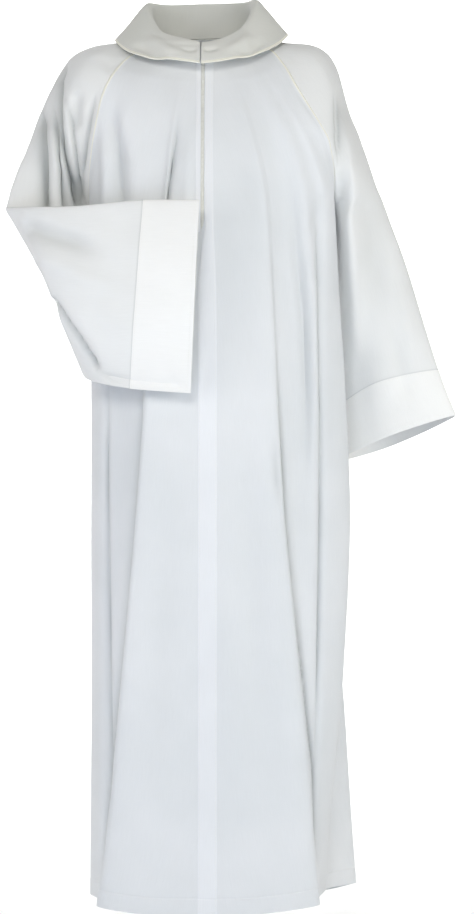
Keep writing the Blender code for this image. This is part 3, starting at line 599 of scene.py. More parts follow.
def sleeve_grid(yoke_table, table, front_seam, back_seam, side):
    """All rows of a sleeve and its cuff, and the number of the row where the cuff is sewn on."""
    turns = (FRONT_SEAM_ANGLE, (FRONT_SEAM_ANGLE + SHOULDER_ANGLE) / 2, SHOULDER_ANGLE,
             (SHOULDER_ANGLE + BACK_SEAM_ANGLE) / 2, BACK_SEAM_ANGLE)
    whole = places_between(len(turns), SLEEVE_ACROSS)
    rows = [[neckline(side * angle) for angle in np.interp(whole, range(len(turns)), turns)]]
    seam = SEAM_COLUMNS[side]
    for row, front, back_row in zip(yoke_table, FRONT_YOKE, BACK_YOKE):
        top, *layers = row.reshape(-1, 3)
        rows.append(sleeve_section(front[seam], top, back_row[seam], *layers))
    for row in table:
        top, under, *layers = row.reshape(-1, 3)
        rows.append(sleeve_section(under, top, under, *layers))
    rows = np.array(rows)
    yoke = len(yoke_table)
    run = lengths(rows[yoke:].mean(axis=1)) / ROW_PITCH
    knots = np.append(np.arange(yoke), yoke + run)
    cuff_seam, cuff_edge = knots[-2:]
    near = np.array(CUFF_EDGE_PLACES) / ROW_PITCH
    lower = np.arange(yoke, cuff_seam, SLEEVE_PITCH / ROW_PITCH)[1:-1]
    places = np.concatenate([np.linspace(0, yoke, yoke * YOKE_STEPS + 1), lower,
                             np.linspace(cuff_seam, cuff_edge, CUFF_ROWS),
                             cuff_seam - near, cuff_seam + near, cuff_edge - near])
    places = np.unique(np.round(places, 5))
    grid = smooth(knots, rows, places, tight=True)
    grid[:len(front_seam), 0] = front_seam
    grid[:len(back_seam), -1] = back_seam
    grid[YOKE_END, [0, -1]] += (side * UNDERARM_GAP, 0, 0)
    return grid[:, ::side], int(np.argmin(np.abs(places - cuff_seam)))


seams = slice(0, YOKE_END + 1)
left_sleeve, left_cuff_row = sleeve_grid(LEFT_SLEEVE_YOKE, LEFT_SLEEVE, front_left[seams, -1],
                                         back[seams, 0], LEFT)
right_sleeve, right_cuff_row = sleeve_grid(RIGHT_SLEEVE_YOKE, RIGHT_SLEEVE, front_right[seams, 0],
                                           back[seams, -1], RIGHT)
print("sleeves", left_sleeve.shape, right_sleeve.shape)

# %% [markdown]
# ## The collar's cut
# The collar is one doubled band. It stands at the neck, folds over and falls on the shoulders, wide and
# a little uneven, with a slit at centre front. It is a short profile swept round the neck, whose height
# changes with the angle.

# %% Collar grid
# A row is the half width, the reach to the front and to the back, then the height at each angle.
COLLAR_PROFILE = numbers("""
neck seam    |  79  -79  69 -47 -28 12 18 21
stand        |  82  -82  80 -36 -14 36 46 52
under fold   |  85  -83  92 -26   0 58 72 80
fold         |  91  -87 102 -20   6 67 82 89
fold outside |  99  -93 113 -23   3 63 78 84
upper fall   | 113 -102 128 -32  -8 47 60 64
middle fall  | 129 -112 141 -45 -22 28 34 38
lower edge   | 147 -121 151 -60 -36  8  9 10
""")
COLLAR_ANGLES = (0, 45, 90, 135, 180)
COLLAR_SLIT = 1.4               # half the slit at centre front
COLLAR_TILT = 0.03              # rise towards the wearer's left
COLLAR_COLUMNS = 200
COLLAR_STEPS = 8
NEAR_SLIT = np.array([0.8, 2.2])        # degrees
NEAR_LOWER_EDGE = np.array([0.04, 0.1, 0.2])    # parts of the last step of the profile


def collar_rows():
    """The profile's rings round the neck, joined by smooth curves."""
    around = [-angle for angle in COLLAR_ANGLES[:0:-1]] + list(COLLAR_ANGLES) + [
        360 - angle for angle in COLLAR_ANGLES[-2::-1]]
    rows = []
    for half_width, front, back_reach, *heights in COLLAR_PROFILE:
        mirrored = heights[::-1]
        start = math.degrees(math.asin(COLLAR_SLIT / half_width))
        angles = np.unique(np.concatenate([np.linspace(start, 360 - start, COLLAR_COLUMNS + 1),
                                           start + NEAR_SLIT, 360 - start - NEAR_SLIT]))
        levels = smooth(around, mirrored[:-1] + heights + mirrored[1:], angles)
        rows.append([ring_point(a, half_width, front, back_reach, z) for a, z in zip(angles, levels)])
    rows = np.array(rows)
    rows[:, :, 2] += rows[:, :, 0] * COLLAR_TILT
    order = np.arange(len(rows))
    places = np.append(np.linspace(0, order[-1], order[-1] * COLLAR_STEPS + 1), order[-1] - NEAR_LOWER_EDGE)
    return smooth(order, rows, np.unique(np.round(places, 5)))


collar = collar_rows()
print("collar", collar.shape)

# %% [markdown]
# ## Folds, pressed in
# The tables already hold the robe's large folds. The smaller ones could come from a cloth simulation, but
# a robe that hangs still has only a few, and each has a known place, so they are pressed in: a fold is a
# line in front view, with a half width and a height. A trough is a negative height. It dies out towards
# its ends, and near a sewn edge, where the seam holds the cloth. A crisp fold falls away at once on both
# sides of its line, a soft one slowly. In a fold's row come its kind and name, its half width and lift,
# the part of it over which it fades in and out, then x and z along its line.

# %% Fold helpers
DEEP_CREASE = 10            # millimetres, at which a crease takes its full painted shade
CRISP_SHARE, ANY_SHARE = 0.7, 0.3       # what crisp folds and all folds add to it


def fold_table(text):
    """Read written folds: kind, half width, lift, fade in, fade out and line."""
    rows = [row.split("|") for row in text.strip().splitlines()]
    return [(name.split()[0], *map(float, sizes.split()), np.array(line.split(), float).reshape(-1, 2))
            for name, sizes, line in rows]


def from_edge(grid, last=False, down=False):
    """Each point's distance from the first or the last column, or down from an end row."""
    if down:
        return from_edge(grid.swapaxes(0, 1), last).T
    steps = np.linalg.norm(np.diff(grid, axis=1), axis=2)
    run = np.concatenate([np.zeros((len(grid), 1)), np.cumsum(steps, axis=1)], axis=1)
    return run[:, -1:] - run if last else run


def fade_from_seams(grid, width=16.0):
    """0 along the first and last column, 1 at width or more from them."""
    near = np.clip(np.minimum(from_edge(grid), from_edge(grid, True)) / width, 0, 1)
    return near * near * (3 - 2 * near)


def distance_to_line(points, line):
    """How far points in front view are from a line, and how far along it they lie, from 0 to 1."""
    run = lengths(line)
    nearest = np.full(points.shape[:-1], np.inf)
    along = np.zeros_like(nearest)
    for a, b, start in zip(line[:-1], line[1:], run[:-1]):
        way = b - a
        t = np.clip(((points - a) @ way) / (way @ way), 0, 1)
        distance = np.linalg.norm(points - a - t[..., None] * way, axis=-1)
        along = np.where(distance < nearest, (start + t * np.linalg.norm(way)) / run[-1], along)
        nearest = np.minimum(distance, nearest)
    return nearest, along


def fold_heights(grid, folds, layer=1.0):
    """The height that all folds of a table add at each point."""
    front_view, height = grid[..., [0, 2]], np.zeros(grid.shape[:2])
    for kind, half_width, lift, fade_in, fade_out, line in folds:
        distance, along = distance_to_line(front_view, line)
        shape = np.exp(-distance / half_width) if kind == "crisp" else np.exp(-(distance / half_width) ** 2)
        ends = np.clip(along / max(fade_in, 1e-3), 0, 1) * np.clip((1 - along) / max(fade_out, 1e-3), 0, 1)
        height += lift * shape * ends * ends * (3 - 2 * ends)
    return height * layer


def crease_depth(grid, folds, layer=1.0):
    """How deep each point lies in a fold, from 0 to 1, which sets the painted shade of the creases. Crisp folds
    count for more than soft ones.
    """
    crisp = [fold for fold in folds if fold[0] == "crisp"]
    depth = -fold_heights(grid, crisp, layer) * CRISP_SHARE - fold_heights(grid, folds, layer) * ANY_SHARE
    return np.clip(depth / DEEP_CREASE, 0, 1)


print("a crease is full at", DEEP_CREASE, "mm")

# %% Pressing helpers
WAVES = 9                   # slow waves in a piece of cloth that is never quite flat
WAVE_LENGTH = (60, 210)     # millimetres
WAVE_LEAN = (-0.9, 0.9)     # radians


def unevenness(grid, height, seed, stretch=(1.0, 0.35)):
    """Slow waves of a few tenths of a millimetre to a few millimetres, as no cloth hangs quite flat."""
    chance = np.random.default_rng(seed)
    u, v = from_edge(grid), from_edge(grid, down=True)
    waves = np.zeros(grid.shape[:2])
    for _ in range(WAVES):
        length, lean = chance.uniform(*WAVE_LENGTH), chance.uniform(*WAVE_LEAN)
        phase = chance.uniform(0, 2 * math.pi)
        waves += np.sin(2 * math.pi / length * (u * stretch[0] * math.cos(lean)
                                                + v * stretch[1] * math.sin(lean)) + phase)
    return waves * height / math.sqrt(WAVES)


def press(grid, heights):
    """Move a grid's points along the way they face."""
    grid += facing_of(grid) * heights[..., None]


def settle(grid, rows, times, sideways=True):
    """Even out a bend that the sections leave, over some rows; the sewn edges stay where they are."""
    part = np.zeros(len(grid))
    part[rows] = np.sin(np.linspace(0, math.pi, len(part[rows]))) ** 0.5
    weight = (part[:, None] * fade_from_seams(grid, width=40.0))[..., None]
    for _ in range(times):
        near = grid.copy()
        near[1:-1] = (grid[:-2] + grid[2:]) / 2
        if sideways:
            near[:, 1:-1] = (near[:, 1:-1] * 2 + grid[:, :-2] + grid[:, 2:]) / 4
        grid += weight * 0.5 * (near - grid)


print("waves of", *WAVE_LENGTH, "mm")

# %% Folds of the fronts and the back
CHEST_FOLDS = fold_table("""
crisp pull to zip        | 4.5 -11 0.6 0     | -34 -120  -40 -190  -55 -285  -66 -330
soft swell by zip        | 12 4 0.4 0.1      | -13 -140  -18 -230  -26 -330
soft armhole drape       | 11 -14 0.5 0.1    | -148 -100  -143 -155  -132 -220  -129 -320
soft armhole ridge       | 9 7 0.4 0.1       | -160 -150  -155 -220  -153 -320
soft left drape          | 20 -3 0.5 0.6     | 60 -120  76 -260  92 -420
soft left swell          | 16 3 0.5 0.5      | 95 -130  112 -240  124 -380
soft side drape          | 8 -10 0.4 0.4     | 142 -215  154 -305  162 -394  170 -475  175 -600  172 -780
soft side ridge          | 8 5 0.4 0.5       | 166 -230  176 -300  185 -450  188 -640  186 -800
crisp side crease | 2.5 -7.5 0.15 0.3 | 192 -262  195 -394  196 -515  199 -640  199 -800  194 -1050  186 -1300
soft underarm pull       | 9 -3.5 0.1 0.8    | 209 -262  180 -330  166 -430
crisp left panel crease  | 3 -8 0.2 0.1      | 122 -500  131 -620  142 -800  167 -1050  186 -1220  195 -1400
crisp short crease       | 3 -4.5 0.4 0.4    | 115 -640  120 -700  130 -800
crisp right panel crease | 3 -8 0.2 0.1 | -82 -500  -96 -620  -110 -800  -132 -1050  -158 -1330  -168 -1420
crisp right crease       | 2.8 -8 0.2 0.3    | -152 -540  -154 -700  -152 -900  -149 -1100  -146 -1330
soft skirt drape 1       | 26 -2.5 0.5 0.4   | 70 -560  84 -820  110 -1180
soft skirt drape 2       | 22 2.5 0.5 0.4    | 48 -700  54 -1000  62 -1300
soft skirt drape 3       | 24 -2.5 0.4 0.4   | -46 -720  -58 -980  -72 -1300
""")
BACK_DRAPES = fold_table("""
soft blade 1         | 22 -3 0.5 0.5   | 80 -90  96 -240  98 -430
soft blade 2         | 22 -3 0.5 0.5   | -74 -90  -88 -250  -92 -430
soft underarm pull 1 | 10 -3.5 0.1 0.8 | 205 -262  178 -340  168 -440
soft underarm pull 2 | 10 -3.5 0.1 0.8 | -172 -262  -150 -330  -142 -430
soft middle hang     | 16 2.5 0.5 0.5  | 4 -120  0 -300  -2 -520
""")
BODY_SETTLED, BODY_ROUNDS = slice(16, YOKE_END + 24), 260       # rows from the upper yoke past the underarm
# how deep each point lies in a crease, which sets the painted shade there
CREASES = {}
for name, grid, folds, seed in (("front_left", front_left, CHEST_FOLDS, 3), ("back", back, BACK_DRAPES, 5),
                                ("front_right", front_right, CHEST_FOLDS, 4)):
    settle(grid, BODY_SETTLED, BODY_ROUNDS, sideways=False)
    CREASES[name] = crease_depth(grid, folds)
    press(grid, (fold_heights(grid, folds) + unevenness(grid, 0.8, seed)) * fade_from_seams(grid))
print(len(CHEST_FOLDS) + len(BACK_DRAPES), "folds in the body")

# %% Folds of the sleeves
LEFT_SLEEVE_FOLDS = fold_table("""
soft shoulder dent    | 12 -5 0.4 0.4  | 243 -80  241 -110  236 -190  238 -240
crisp shoulder crease | 5 -10 0.4 0.4  | 222 -92  226 -127  228 -169  228 -225
soft long trough      | 24 -8 0.4 0.5  | 282 -225  294 -350  304 -500
soft inner ridge      | 12 4.5 0.4 0.3 | 246 -300  258 -420  268 -560
soft outer ridge      | 18 4 0.5 0.3   | 312 -330  340 -440  366 -560
soft cuff dent        | 14 -4 0.5 0.1  | 322 -470  336 -540  346 -610
""")
# The right sleeve's folds in the crook of the arm, then those of the forearm across the front.
CROOK_FOLDS = fold_table("""
crisp deep fold       | 4.5 -17 0.12 0.1 | -225 -32  -239 -70  -239 -110  -236 -160  -219 -230  -203 -300
soft deep swell       | 9 5 0.3 0.1      | -222 -80  -222 -125  -215 -180  -200 -250
soft outer swell      | 7 4 0.4 0        | -248 -110  -247 -160  -238 -230  -232 -300
crisp thin fold       | 4 -13 0.3 0      | -253 -102  -244 -160  -234 -230  -226 -310
soft middle swell     | 7 4 0.3 0        | -232 -170  -222 -240  -214 -310
crisp wide trough     | 7 -20 0.25 0     | -275 -100  -271 -150  -265 -200  -257 -320
soft wide swell       | 12 4 0.4 0       | -262 -140  -253 -200  -243 -320
crisp wedge           | 4.5 -10 0.3 0.3  | -226 -92  -215 -150  -205 -220  -197 -310
crisp beside the seam | 4 -8 0.3 0.4     | -172 -96  -183 -148  -191 -190  -197 -235  -200 -275
soft shoulder drape   | 9 -8 0.4 0.3     | -201 -92  -206 -125  -208 -170
""")
FLAP_FOLDS = fold_table("""
soft elbow shade  | 15 -13 0.15 0.5 | -296 -325  -255 -342  -205 -358  -140 -388
soft upper roll   | 15 6 0.3 0.4    | -286 -368  -235 -392  -180 -420  -120 -440
crisp corner roll | 4 -11 0.05 0.1  | -243 -447  -226 -468  -197 -508  -171 -548  -166 -562  -172 -570
soft corner swell | 14 4 0.3 0.3    | -214 -452  -180 -505  -148 -556
soft lower hang   | 22 3.5 0.5 0.4  | -190 -440  -120 -500  -60 -520
crisp under roll  | 3.5 -8 0.2 0.1  | -168 -568  -140 -578  -106 -586  -60 -590  -22 -592
soft cuff pull    | 6 2.5 0.4 0.3   | -44 -545  -34 -570  -22 -588
""")
# A swell that fills the groove between the left sleeve and the body, then the folds behind both sleeves.
BESIDE_BODY = fold_table("""
soft swell | 24 26 0.55 0.35 | 218 -170  222 -250  228 -320  235 -400  242 -520  248 -640
""")
BACK_OF_SLEEVE = fold_table("""
soft behind 1 | 16 -5 0.4 0.4 | 256 -170  266 -300  276 -430
soft behind 2 | 18 4 0.4 0.4  | 300 -280  322 -420  340 -560
soft behind 3 | 12 -5 0.3 0.2 | -236 -90  -238 -180  -244 -280
soft behind 4 | 12 -5 0.3 0.2 | -262 -120  -272 -190  -288 -270
""")
ELBOW_SETTLED, ELBOW_ROUNDS = slice(YOKE_END - 32, YOKE_END + 26), 60
ACROSS_FRONT, ELBOW_FADE = -85, 25      # y where rows lie across the front, and how far behind that it ends
TOP_FADE, UNDER_FADE = 0.04, 0.05       # parts of a row over which a layer's folds die out


def layer_mask(grid, first_half):
    """1 on one layer of a sleeve, falling to 0 at its top line and its under line."""
    columns = np.linspace(0, 1, grid.shape[1])
    from_top = np.abs(columns - 0.5)
    inside = np.clip((0.5 - from_top) / UNDER_FADE, 0, 1) * np.clip(from_top / TOP_FADE, 0, 1)
    return inside * ((columns < 0.5) == first_half)


front_layer, back_layer = layer_mask(left_sleeve, True), layer_mask(left_sleeve, False)
left_sleeve[..., 1] -= (fade_from_seams(left_sleeve, width=7.0)
                        * fold_heights(left_sleeve, BESIDE_BODY, front_layer))
press(left_sleeve, fade_from_seams(left_sleeve) * (
    fold_heights(left_sleeve, LEFT_SLEEVE_FOLDS, front_layer)
    + fold_heights(left_sleeve, BACK_OF_SLEEVE, back_layer) + unevenness(left_sleeve, 0.7, 6)))
CREASES["sleeve_left"] = crease_depth(left_sleeve, LEFT_SLEEVE_FOLDS, front_layer)

settle(right_sleeve, ELBOW_SETTLED, ELBOW_ROUNDS)
row_y = right_sleeve[..., 1].mean(axis=1)
before_elbow = np.clip((row_y - ACROSS_FRONT) / ELBOW_FADE, 0, 1)[:, None]      # 0 across the front
crook, outside = layer_mask(right_sleeve, False), layer_mask(right_sleeve, True)
CREASES["sleeve_right"] = (crease_depth(right_sleeve, CROOK_FOLDS, crook) * before_elbow
                           + crease_depth(right_sleeve, FLAP_FOLDS, outside) * (1 - before_elbow))
press(right_sleeve, fade_from_seams(right_sleeve, width=8.0) * (
    fold_heights(right_sleeve, CROOK_FOLDS, crook) * before_elbow
    + fold_heights(right_sleeve, FLAP_FOLDS, outside) * (1 - before_elbow)
    + fold_heights(right_sleeve, BACK_OF_SLEEVE, outside) * before_elbow
    + unevenness(right_sleeve, 0.7, 7)))
print("rows before the elbow:", int((before_elbow > 0.5).sum()))

# %% Puckers of the collar
COLLAR_PUCKERS = fold_table("""
soft slit left  | 4 -3.5 0.1 0.6 | 4 -34  16 -36  34 -30
soft slit right | 4 -3.5 0.1 0.6 | -4 -34  -18 -37  -40 -32
soft roll right | 9 4.5 0.4 0.4  | -92 0  -66 -24  -36 -42
soft fall right | 9 -6 0.4 0.4   | -112 -14  -84 -38  -50 -50
soft roll left  | 9 4.5 0.4 0.4  | 36 -40  62 -24  86 2
soft fall left  | 9 -6 0.4 0.4   | 56 -46  84 -34  108 -8
""")
front_half = collar[..., 1] < 0
press(collar, (fold_heights(collar, COLLAR_PUCKERS) * front_half + unevenness(collar, 0.5, 8, (1.0, 1.0)))
      * fade_from_seams(collar, width=6.0))
print(len(COLLAR_PUCKERS), "puckers")

# %% [markdown]
# ## Skins
# Each piece is a closed shell: its points moved out for the face and in for the lining side, joined round
# the edges. Where two pieces are sewn, they share the way they face along the seam, so no crack shows,
# and the seam sinks in a little with a soft ridge beside it, where the allowances lie under the cloth.
# Every shell stands for its solid and rides on the robe's one body.

# %% Seams
GROOVE = ((0, 0.8, 2.5, 5), (-0.7, -0.35, -0.1, 0))             # millimetres from the seam, and height
RIDGE = ((0, 0.8, 2.2, 4.6, 6.4, 8), (-0.9, 0.6, 1.3, 1.1, 0.1, 0))
UNDERARM_ROWS = 6       # rows above the underarm over which the raglan seam's ridge and cream give way
SEAM_SIDES = {"front_left": (True,), "front_right": (False,), "back": (False, True),
              "sleeve_left": (False, True), "sleeve_right": (False, True)}      # True for a last column
GRIDS = {"front_left": front_left, "front_right": front_right, "back": back,
         "sleeve_left": left_sleeve, "sleeve_right": right_sleeve, "collar": collar}
out = {name: facing_of(grid) for name, grid in GRIDS.items()}


def sew(edges):
    """Give edges that are sewn together one direction at each point."""
    shared = unit(sum(edge.copy() for edge in edges))
    for edge in edges:
        edge[...] = shared


yoke_part, lower_part = slice(0, YOKE_END), slice(YOKE_END + 1, None)
for side, edge in (("left", -1), ("right", 0)):
    front, sleeve = out["front_" + side][:, edge], out["sleeve_" + side]
    behind, sleeve_front, sleeve_back = out["back"][:, -1 - edge], sleeve[:, -1 - edge], sleeve[:, edge]
    sew([front[yoke_part], sleeve_front[yoke_part]])
    sew([behind[yoke_part], sleeve_back[yoke_part]])
    sew([front[lower_part], behind[lower_part]])
    sew([sleeve[lower_part, 0], sleeve[lower_part, -1]])
    sew([seam[YOKE_END] for seam in (front, behind, sleeve[:, 0], sleeve[:, -1])])

for name, sides in SEAM_SIDES.items():
    grid = GRIDS[name]
    in_yoke = np.clip((YOKE_END - np.arange(len(grid))) / UNDERARM_ROWS, 0, 1)[:, None]
    on_body = in_yoke * (not name.startswith("sleeve"))
    relief = np.zeros(grid.shape[:2])
    for last in sides:
        distance = from_edge(grid, last)
        relief += np.interp(distance, *GROOVE) * (1 - on_body) + np.interp(distance, *RIDGE) * on_body
    grid += out[name] * relief[..., None]
print("sewn:", sorted(GRIDS))

# %% Shells of cloth
def grain_map(grid):
    """Each point's place on the flat cloth, in metres: across from the middle column, and down."""
    u, v = from_edge(grid), from_edge(grid, down=True)
    return np.stack([u - u[:, grid.shape[1] // 2][:, None], v], axis=2) * MM


def cut_size(grid):
    """The width, length and area of the flat piece that a grid was cut from, in metres."""
    over, down = np.diff(grid, axis=1), np.diff(grid, axis=0)
    area = (np.linalg.norm(np.cross(over[:-1], down[:, :-1]), axis=2).sum()
            + np.linalg.norm(np.cross(over[1:], down[:, 1:]), axis=2).sum()) / 2
    return from_edge(grid).max() * MM, from_edge(grid, down=True).max() * MM, area * MM * MM


def mesh_object(name, points, faces, finish, sharp=60):
    """A mesh of points in millimetres. Points that no face uses are left out."""
    used, place = np.unique(faces, return_inverse=True)
    mesh = bpy.data.meshes.new(name)
    mesh.from_pydata((points[used] * MM).tolist(), [], place.reshape(faces.shape).tolist())
    mesh.materials.append(finish)
    mesh.shade_smooth()
    mesh.set_sharp_from_angle(angle=math.radians(sharp))
    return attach(add_object(name, mesh), "root"), used


PIECES = {}


def cloth_piece(node_name, thick, finish, slot, joined=None, **tone_masks):
    """The skin that stands for a solid: a closed shell of cloth on the piece's grid. Thick is one number, or
    one for each row. From row joined on, its last column meets its first one, which makes it a tube.
    Tone_masks hold the values that the material reads, one for each point of the grid: the seam band of
    cream and painted highlight, and the painted shade of the creases."""
    grid = GRIDS[node_name]
    rows, columns, _ = grid.shape
    joined = rows if joined is None else joined
    offset = out[node_name] * (np.broadcast_to(np.asarray(thick, float), rows)[:, None, None] / 2)
    number = np.arange(rows * columns).reshape(rows, columns)
    lining = number + rows * columns
    corners = [number[:-1, :-1], number[1:, :-1], number[1:, 1:], number[:-1, 1:]]
    faces = [np.stack(corners, axis=2).reshape(-1, 4)]
    faces.append(faces[0][:, ::-1] + rows * columns)
    end = min(joined, rows - 1)
    for edge, way in ((0, 1), (-1, -1)):
        for line, line_in, turn in ((number[edge], lining[edge], way),
                                    (number[:end + 1, edge], lining[:end + 1, edge], -way)):
            faces.append(np.stack([line[:-1], line[1:], line_in[1:], line_in[:-1]], axis=1)[:, ::turn])
    faces = np.concatenate(faces)
    meets = np.arange(2 * rows * columns)
    for layer in (number, lining):
        meets[layer[joined:, -1]] = layer[joined:, 0]
    points = np.concatenate([(grid + offset).reshape(-1, 3), (grid - offset).reshape(-1, 3)])
    made, used = mesh_object(node_name + "_cloth", points, meets[faces], finish)
    grain = np.tile(grain_map(grid).reshape(-1, 2), (2, 1))[faces].astype(np.float32)
    made.data.uv_layers.new(name="grain").data.foreach_set("uv", grain.ravel())
    for name, values in tone_masks.items():
        layer = made.data.attributes.new(name, "FLOAT", "POINT")
        layer.data.foreach_set("value", np.tile(values.ravel(), 2)[used].astype(np.float32))
    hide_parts(node_name)
    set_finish(made, slot)
    PIECES[node_name] = made
    width, length, _ = cut_size(grid)
    print(f"{made.name}: {len(made.data.polygons)} faces, cut {width:.3f} x {length:.3f} m")


def near_seam(distance):
    """1 on a seam, falling to 0 at NEAR_SEAM from it."""
    return np.clip(1 - distance / NEAR_SEAM, 0, 1)


print("ready for", len(GRIDS), "grids")

# %% Body, sleeves, cuffs and collar
CLOTH, BAND_CLOTH, STRIP_CLOTH = 1.1, 2.2, 0.8      # one layer, a doubled band, and a fly strip
HEM_CLOTH = 1.9                 # nearly two layers below the hem's stitching
STITCH_DENT = 0.5               # how deep the hem's stitches pull the cloth in
SEAM_SHADE = 0.35               # painted shade along a cuff's seam
CUFF_GAP = 0.2                  # between a sleeve's end and its cuff
RIM_FADE = 1.5                  # the collar's rim band of cream and painted highlight is narrower than a seam's band

for name in ("front_left", "front_right", "back"):
    grid = GRIDS[name]
    from_hem = from_edge(grid, True, down=True)
    grid += out[name] * (-STITCH_DENT * np.exp(-(from_hem - HEM_DEPTH) ** 2))[..., None]
    from_seam = np.min([from_edge(grid, last) for last in SEAM_SIDES[name]], axis=0)
    from_seam += np.clip(np.arange(len(from_seam)) - YOKE_END + UNDERARM_ROWS, 0, None)[:, None]
    row_from_hem = from_edge(grid, True, down=True).mean(axis=1)
    thick = np.interp(row_from_hem, (HEM_DEPTH - 1.0, HEM_DEPTH + 1.0), (HEM_CLOTH, CLOTH))
    cloth_piece(name, thick, body_cloth, "body cloth", near_seam=near_seam(from_seam),
                in_crease=CREASES[name])
for side, cuff_row in (("left", left_cuff_row), ("right", right_cuff_row)):
    sleeve, cuff = "sleeve_" + side, "cuff_" + side
    for layers in (GRIDS, out):
        layers[cuff], layers[sleeve] = layers[sleeve][cuff_row:].copy(), layers[sleeve][:cuff_row + 1].copy()
    # a line of painted shade along the cuff's seam
    CREASES[sleeve][cuff_row - 1:cuff_row + 1] = SEAM_SHADE
    cloth_piece(sleeve, CLOTH, sleeve_cloth, "sleeve cloth", YOKE_END,
                in_crease=CREASES[sleeve][:cuff_row + 1])
    GRIDS[cuff][0] += unit(GRIDS[cuff][1] - GRIDS[cuff][0]) * CUFF_GAP
    cloth_piece(cuff, BAND_CLOTH, cuff_cloth, "cuff cloth", 0)
cloth_piece("collar", BAND_CLOTH, collar_cloth, "collar cloth",
            near_seam=near_seam(from_edge(collar, True, down=True) * RIM_FADE))

# %% [markdown]
# ## Zip and fly
# The fronts meet over a zip, which runs from under the collar to just above the waist. A pressed strip
# lies on each side of it. The left one carries on down to the hem, where it is folded wider and shows as
# one long band. The zip is closed: its coil shows between the strips, and its slider is at the top.

# %% Strips along the centre front
# A row is a height, and x of both edges.
FLY_LEFT = [(-53, 7.2, 21), (-200, 7.2, 21), (-330, 7.2, 22), (-420, -3, 26), (-610, -3, 28), (-1438, -3, 28)]
FLY_RIGHT = [(-53, -7, 0.6), (-200, -7, 0.6), (ZIP_END, -7, 0.6)]
ZIP_TOP, ZIP_TAIL, ZIP_EDGES = -51, 4, (-2.4, 10.0)
TAPE = 0.8
TAPE_GAP = 0.15             # between the tape and the front that it lies behind
STRIP_STEPS = 8
STRIP_EDGES = (0.03, 0.97)  # extra places across a strip, beside its pressed edges
NEAR_END = 0.2              # a row of the fronts this close to a strip's end is left out
PRESSED_DROP, PRESSED_REACH = 0.35, 1.2     # a strip's pressed edges lie lower, over this reach
SINK = 0.25                 # a strip is pressed this far into the front
STRIP_LIFT = CLOTH / 2 + STRIP_CLOTH / 2 - SINK


def front_line(x):
    """The line down the front at distance x from the centre, with a point on each row of the fronts."""
    middle = np.concatenate([front_right[:, -CENTRE_COLUMNS:], front_left[:, :CENTRE_COLUMNS]], axis=1)
    x = np.broadcast_to(x, len(middle))
    y, z = ([np.interp(place, row[:, 0], row[:, i]) for place, row in zip(x, middle)] for i in (1, 2))
    return np.stack([x, y, z], axis=1)


def strip(table, lift):
    """A strip that follows the fronts, lifted off them."""
    heights, left, right = np.array(table[::-1], float).T
    z_of_row = front_line(0)[:, 2]
    first, last = (np.interp(-z, -z_of_row, np.arange(len(z_of_row))) for z in (heights[-1], heights[0]))
    low, high = (np.interp(z_of_row, heights, edge) for edge in (left, right))
    parts = np.unique(np.append(np.linspace(0, 1, STRIP_STEPS + 1), STRIP_EDGES))
    lines = np.stack([front_line(low + (high - low) * part) for part in parts], axis=1)
    between = [i for i in range(len(z_of_row)) if first + NEAR_END < i < last - NEAR_END]
    places = np.array([first, *between, last])
    row = np.minimum(places.astype(int), len(lines) - 2)
    part = (places - row)[:, None, None]
    rows = lines[row] * (1 - part) + lines[row + 1] * part
    return rows + facing_of(rows) * lift


GRIDS["fly_left"], GRIDS["fly_right"] = strip(FLY_LEFT, STRIP_LIFT), strip(FLY_RIGHT, STRIP_LIFT)
GRIDS["zip"] = strip([(ZIP_TOP, *ZIP_EDGES), (ZIP_END - ZIP_TAIL, *ZIP_EDGES)],
                     -(CLOTH / 2 + TAPE_GAP + TAPE / 2))
for name in ("fly_left", "fly_right"):
    grid = GRIDS[name]
    out[name] = facing_of(grid)
    from_side = np.minimum(from_edge(grid), from_edge(grid, True))
    grid += out[name] * (PRESSED_DROP * (1 - np.exp(-from_side / PRESSED_REACH)))[..., None]
    cloth_piece(name, STRIP_CLOTH, fly_cloth, "fly cloth")

# %% [markdown]
# ### Tape, coil and slider
# The coil is nylon wire wound into teeth at a pitch of 1.5 mm. Nylon is smooth and a little clear, so it
# is glossier than the cloth around it. The slider is die-cast, then painted; a painted metal part is matt
# paint over a smooth body, so it has no metallic look but a soft highlight.

# %% Tape, coil, paint and thread materials
def plain_finish(name, light, shade, roughness, grain_size, bump, coat=0.0):
    """A finish without a weave, whose tone wanders between two colours at the scale of its grain."""
    made, tree, shader = new_material(name, {"Coat Weight": coat})
    place = node(tree, "TexCoord").outputs["Object"]
    spots = node(tree, "TexNoise", {"Scale": 1 / grain_size, "Detail": 3.0}, Vector=place)
    tone = two_tones(tree, spots, shade, light, (0.35, 0.65))
    rough = map_range(tree, spots, 0.0, 1.0, roughness - 0.06, roughness + 0.06)
    relief = node(tree, "Bump", {"Strength": 0.4, "Distance": bump * MM}, Height=spots)
    connect(shader, {"Base Color": tone, "Roughness": rough, "Normal": relief})
    return made


tape_cloth = woven_cloth("woven polyester tape", "#EFEFEA", "#E6E6E0", 0.7, 0.08)
coil_nylon = plain_finish("moulded nylon coil", "#F4F4EE", "#EAEAE3", 0.38, 0.004, 0.05)
slider_paint = plain_finish("satin paint on die-cast slider", "#ECECE8", "#E0E0DB", 0.34, 0.002, 0.03, 0.3)
thread = plain_finish("spun polyester sewing thread", "#F4F4EE", "#E6E6DE", 0.6, 0.002, 0.08)
print("finishes for the zip and the thread")

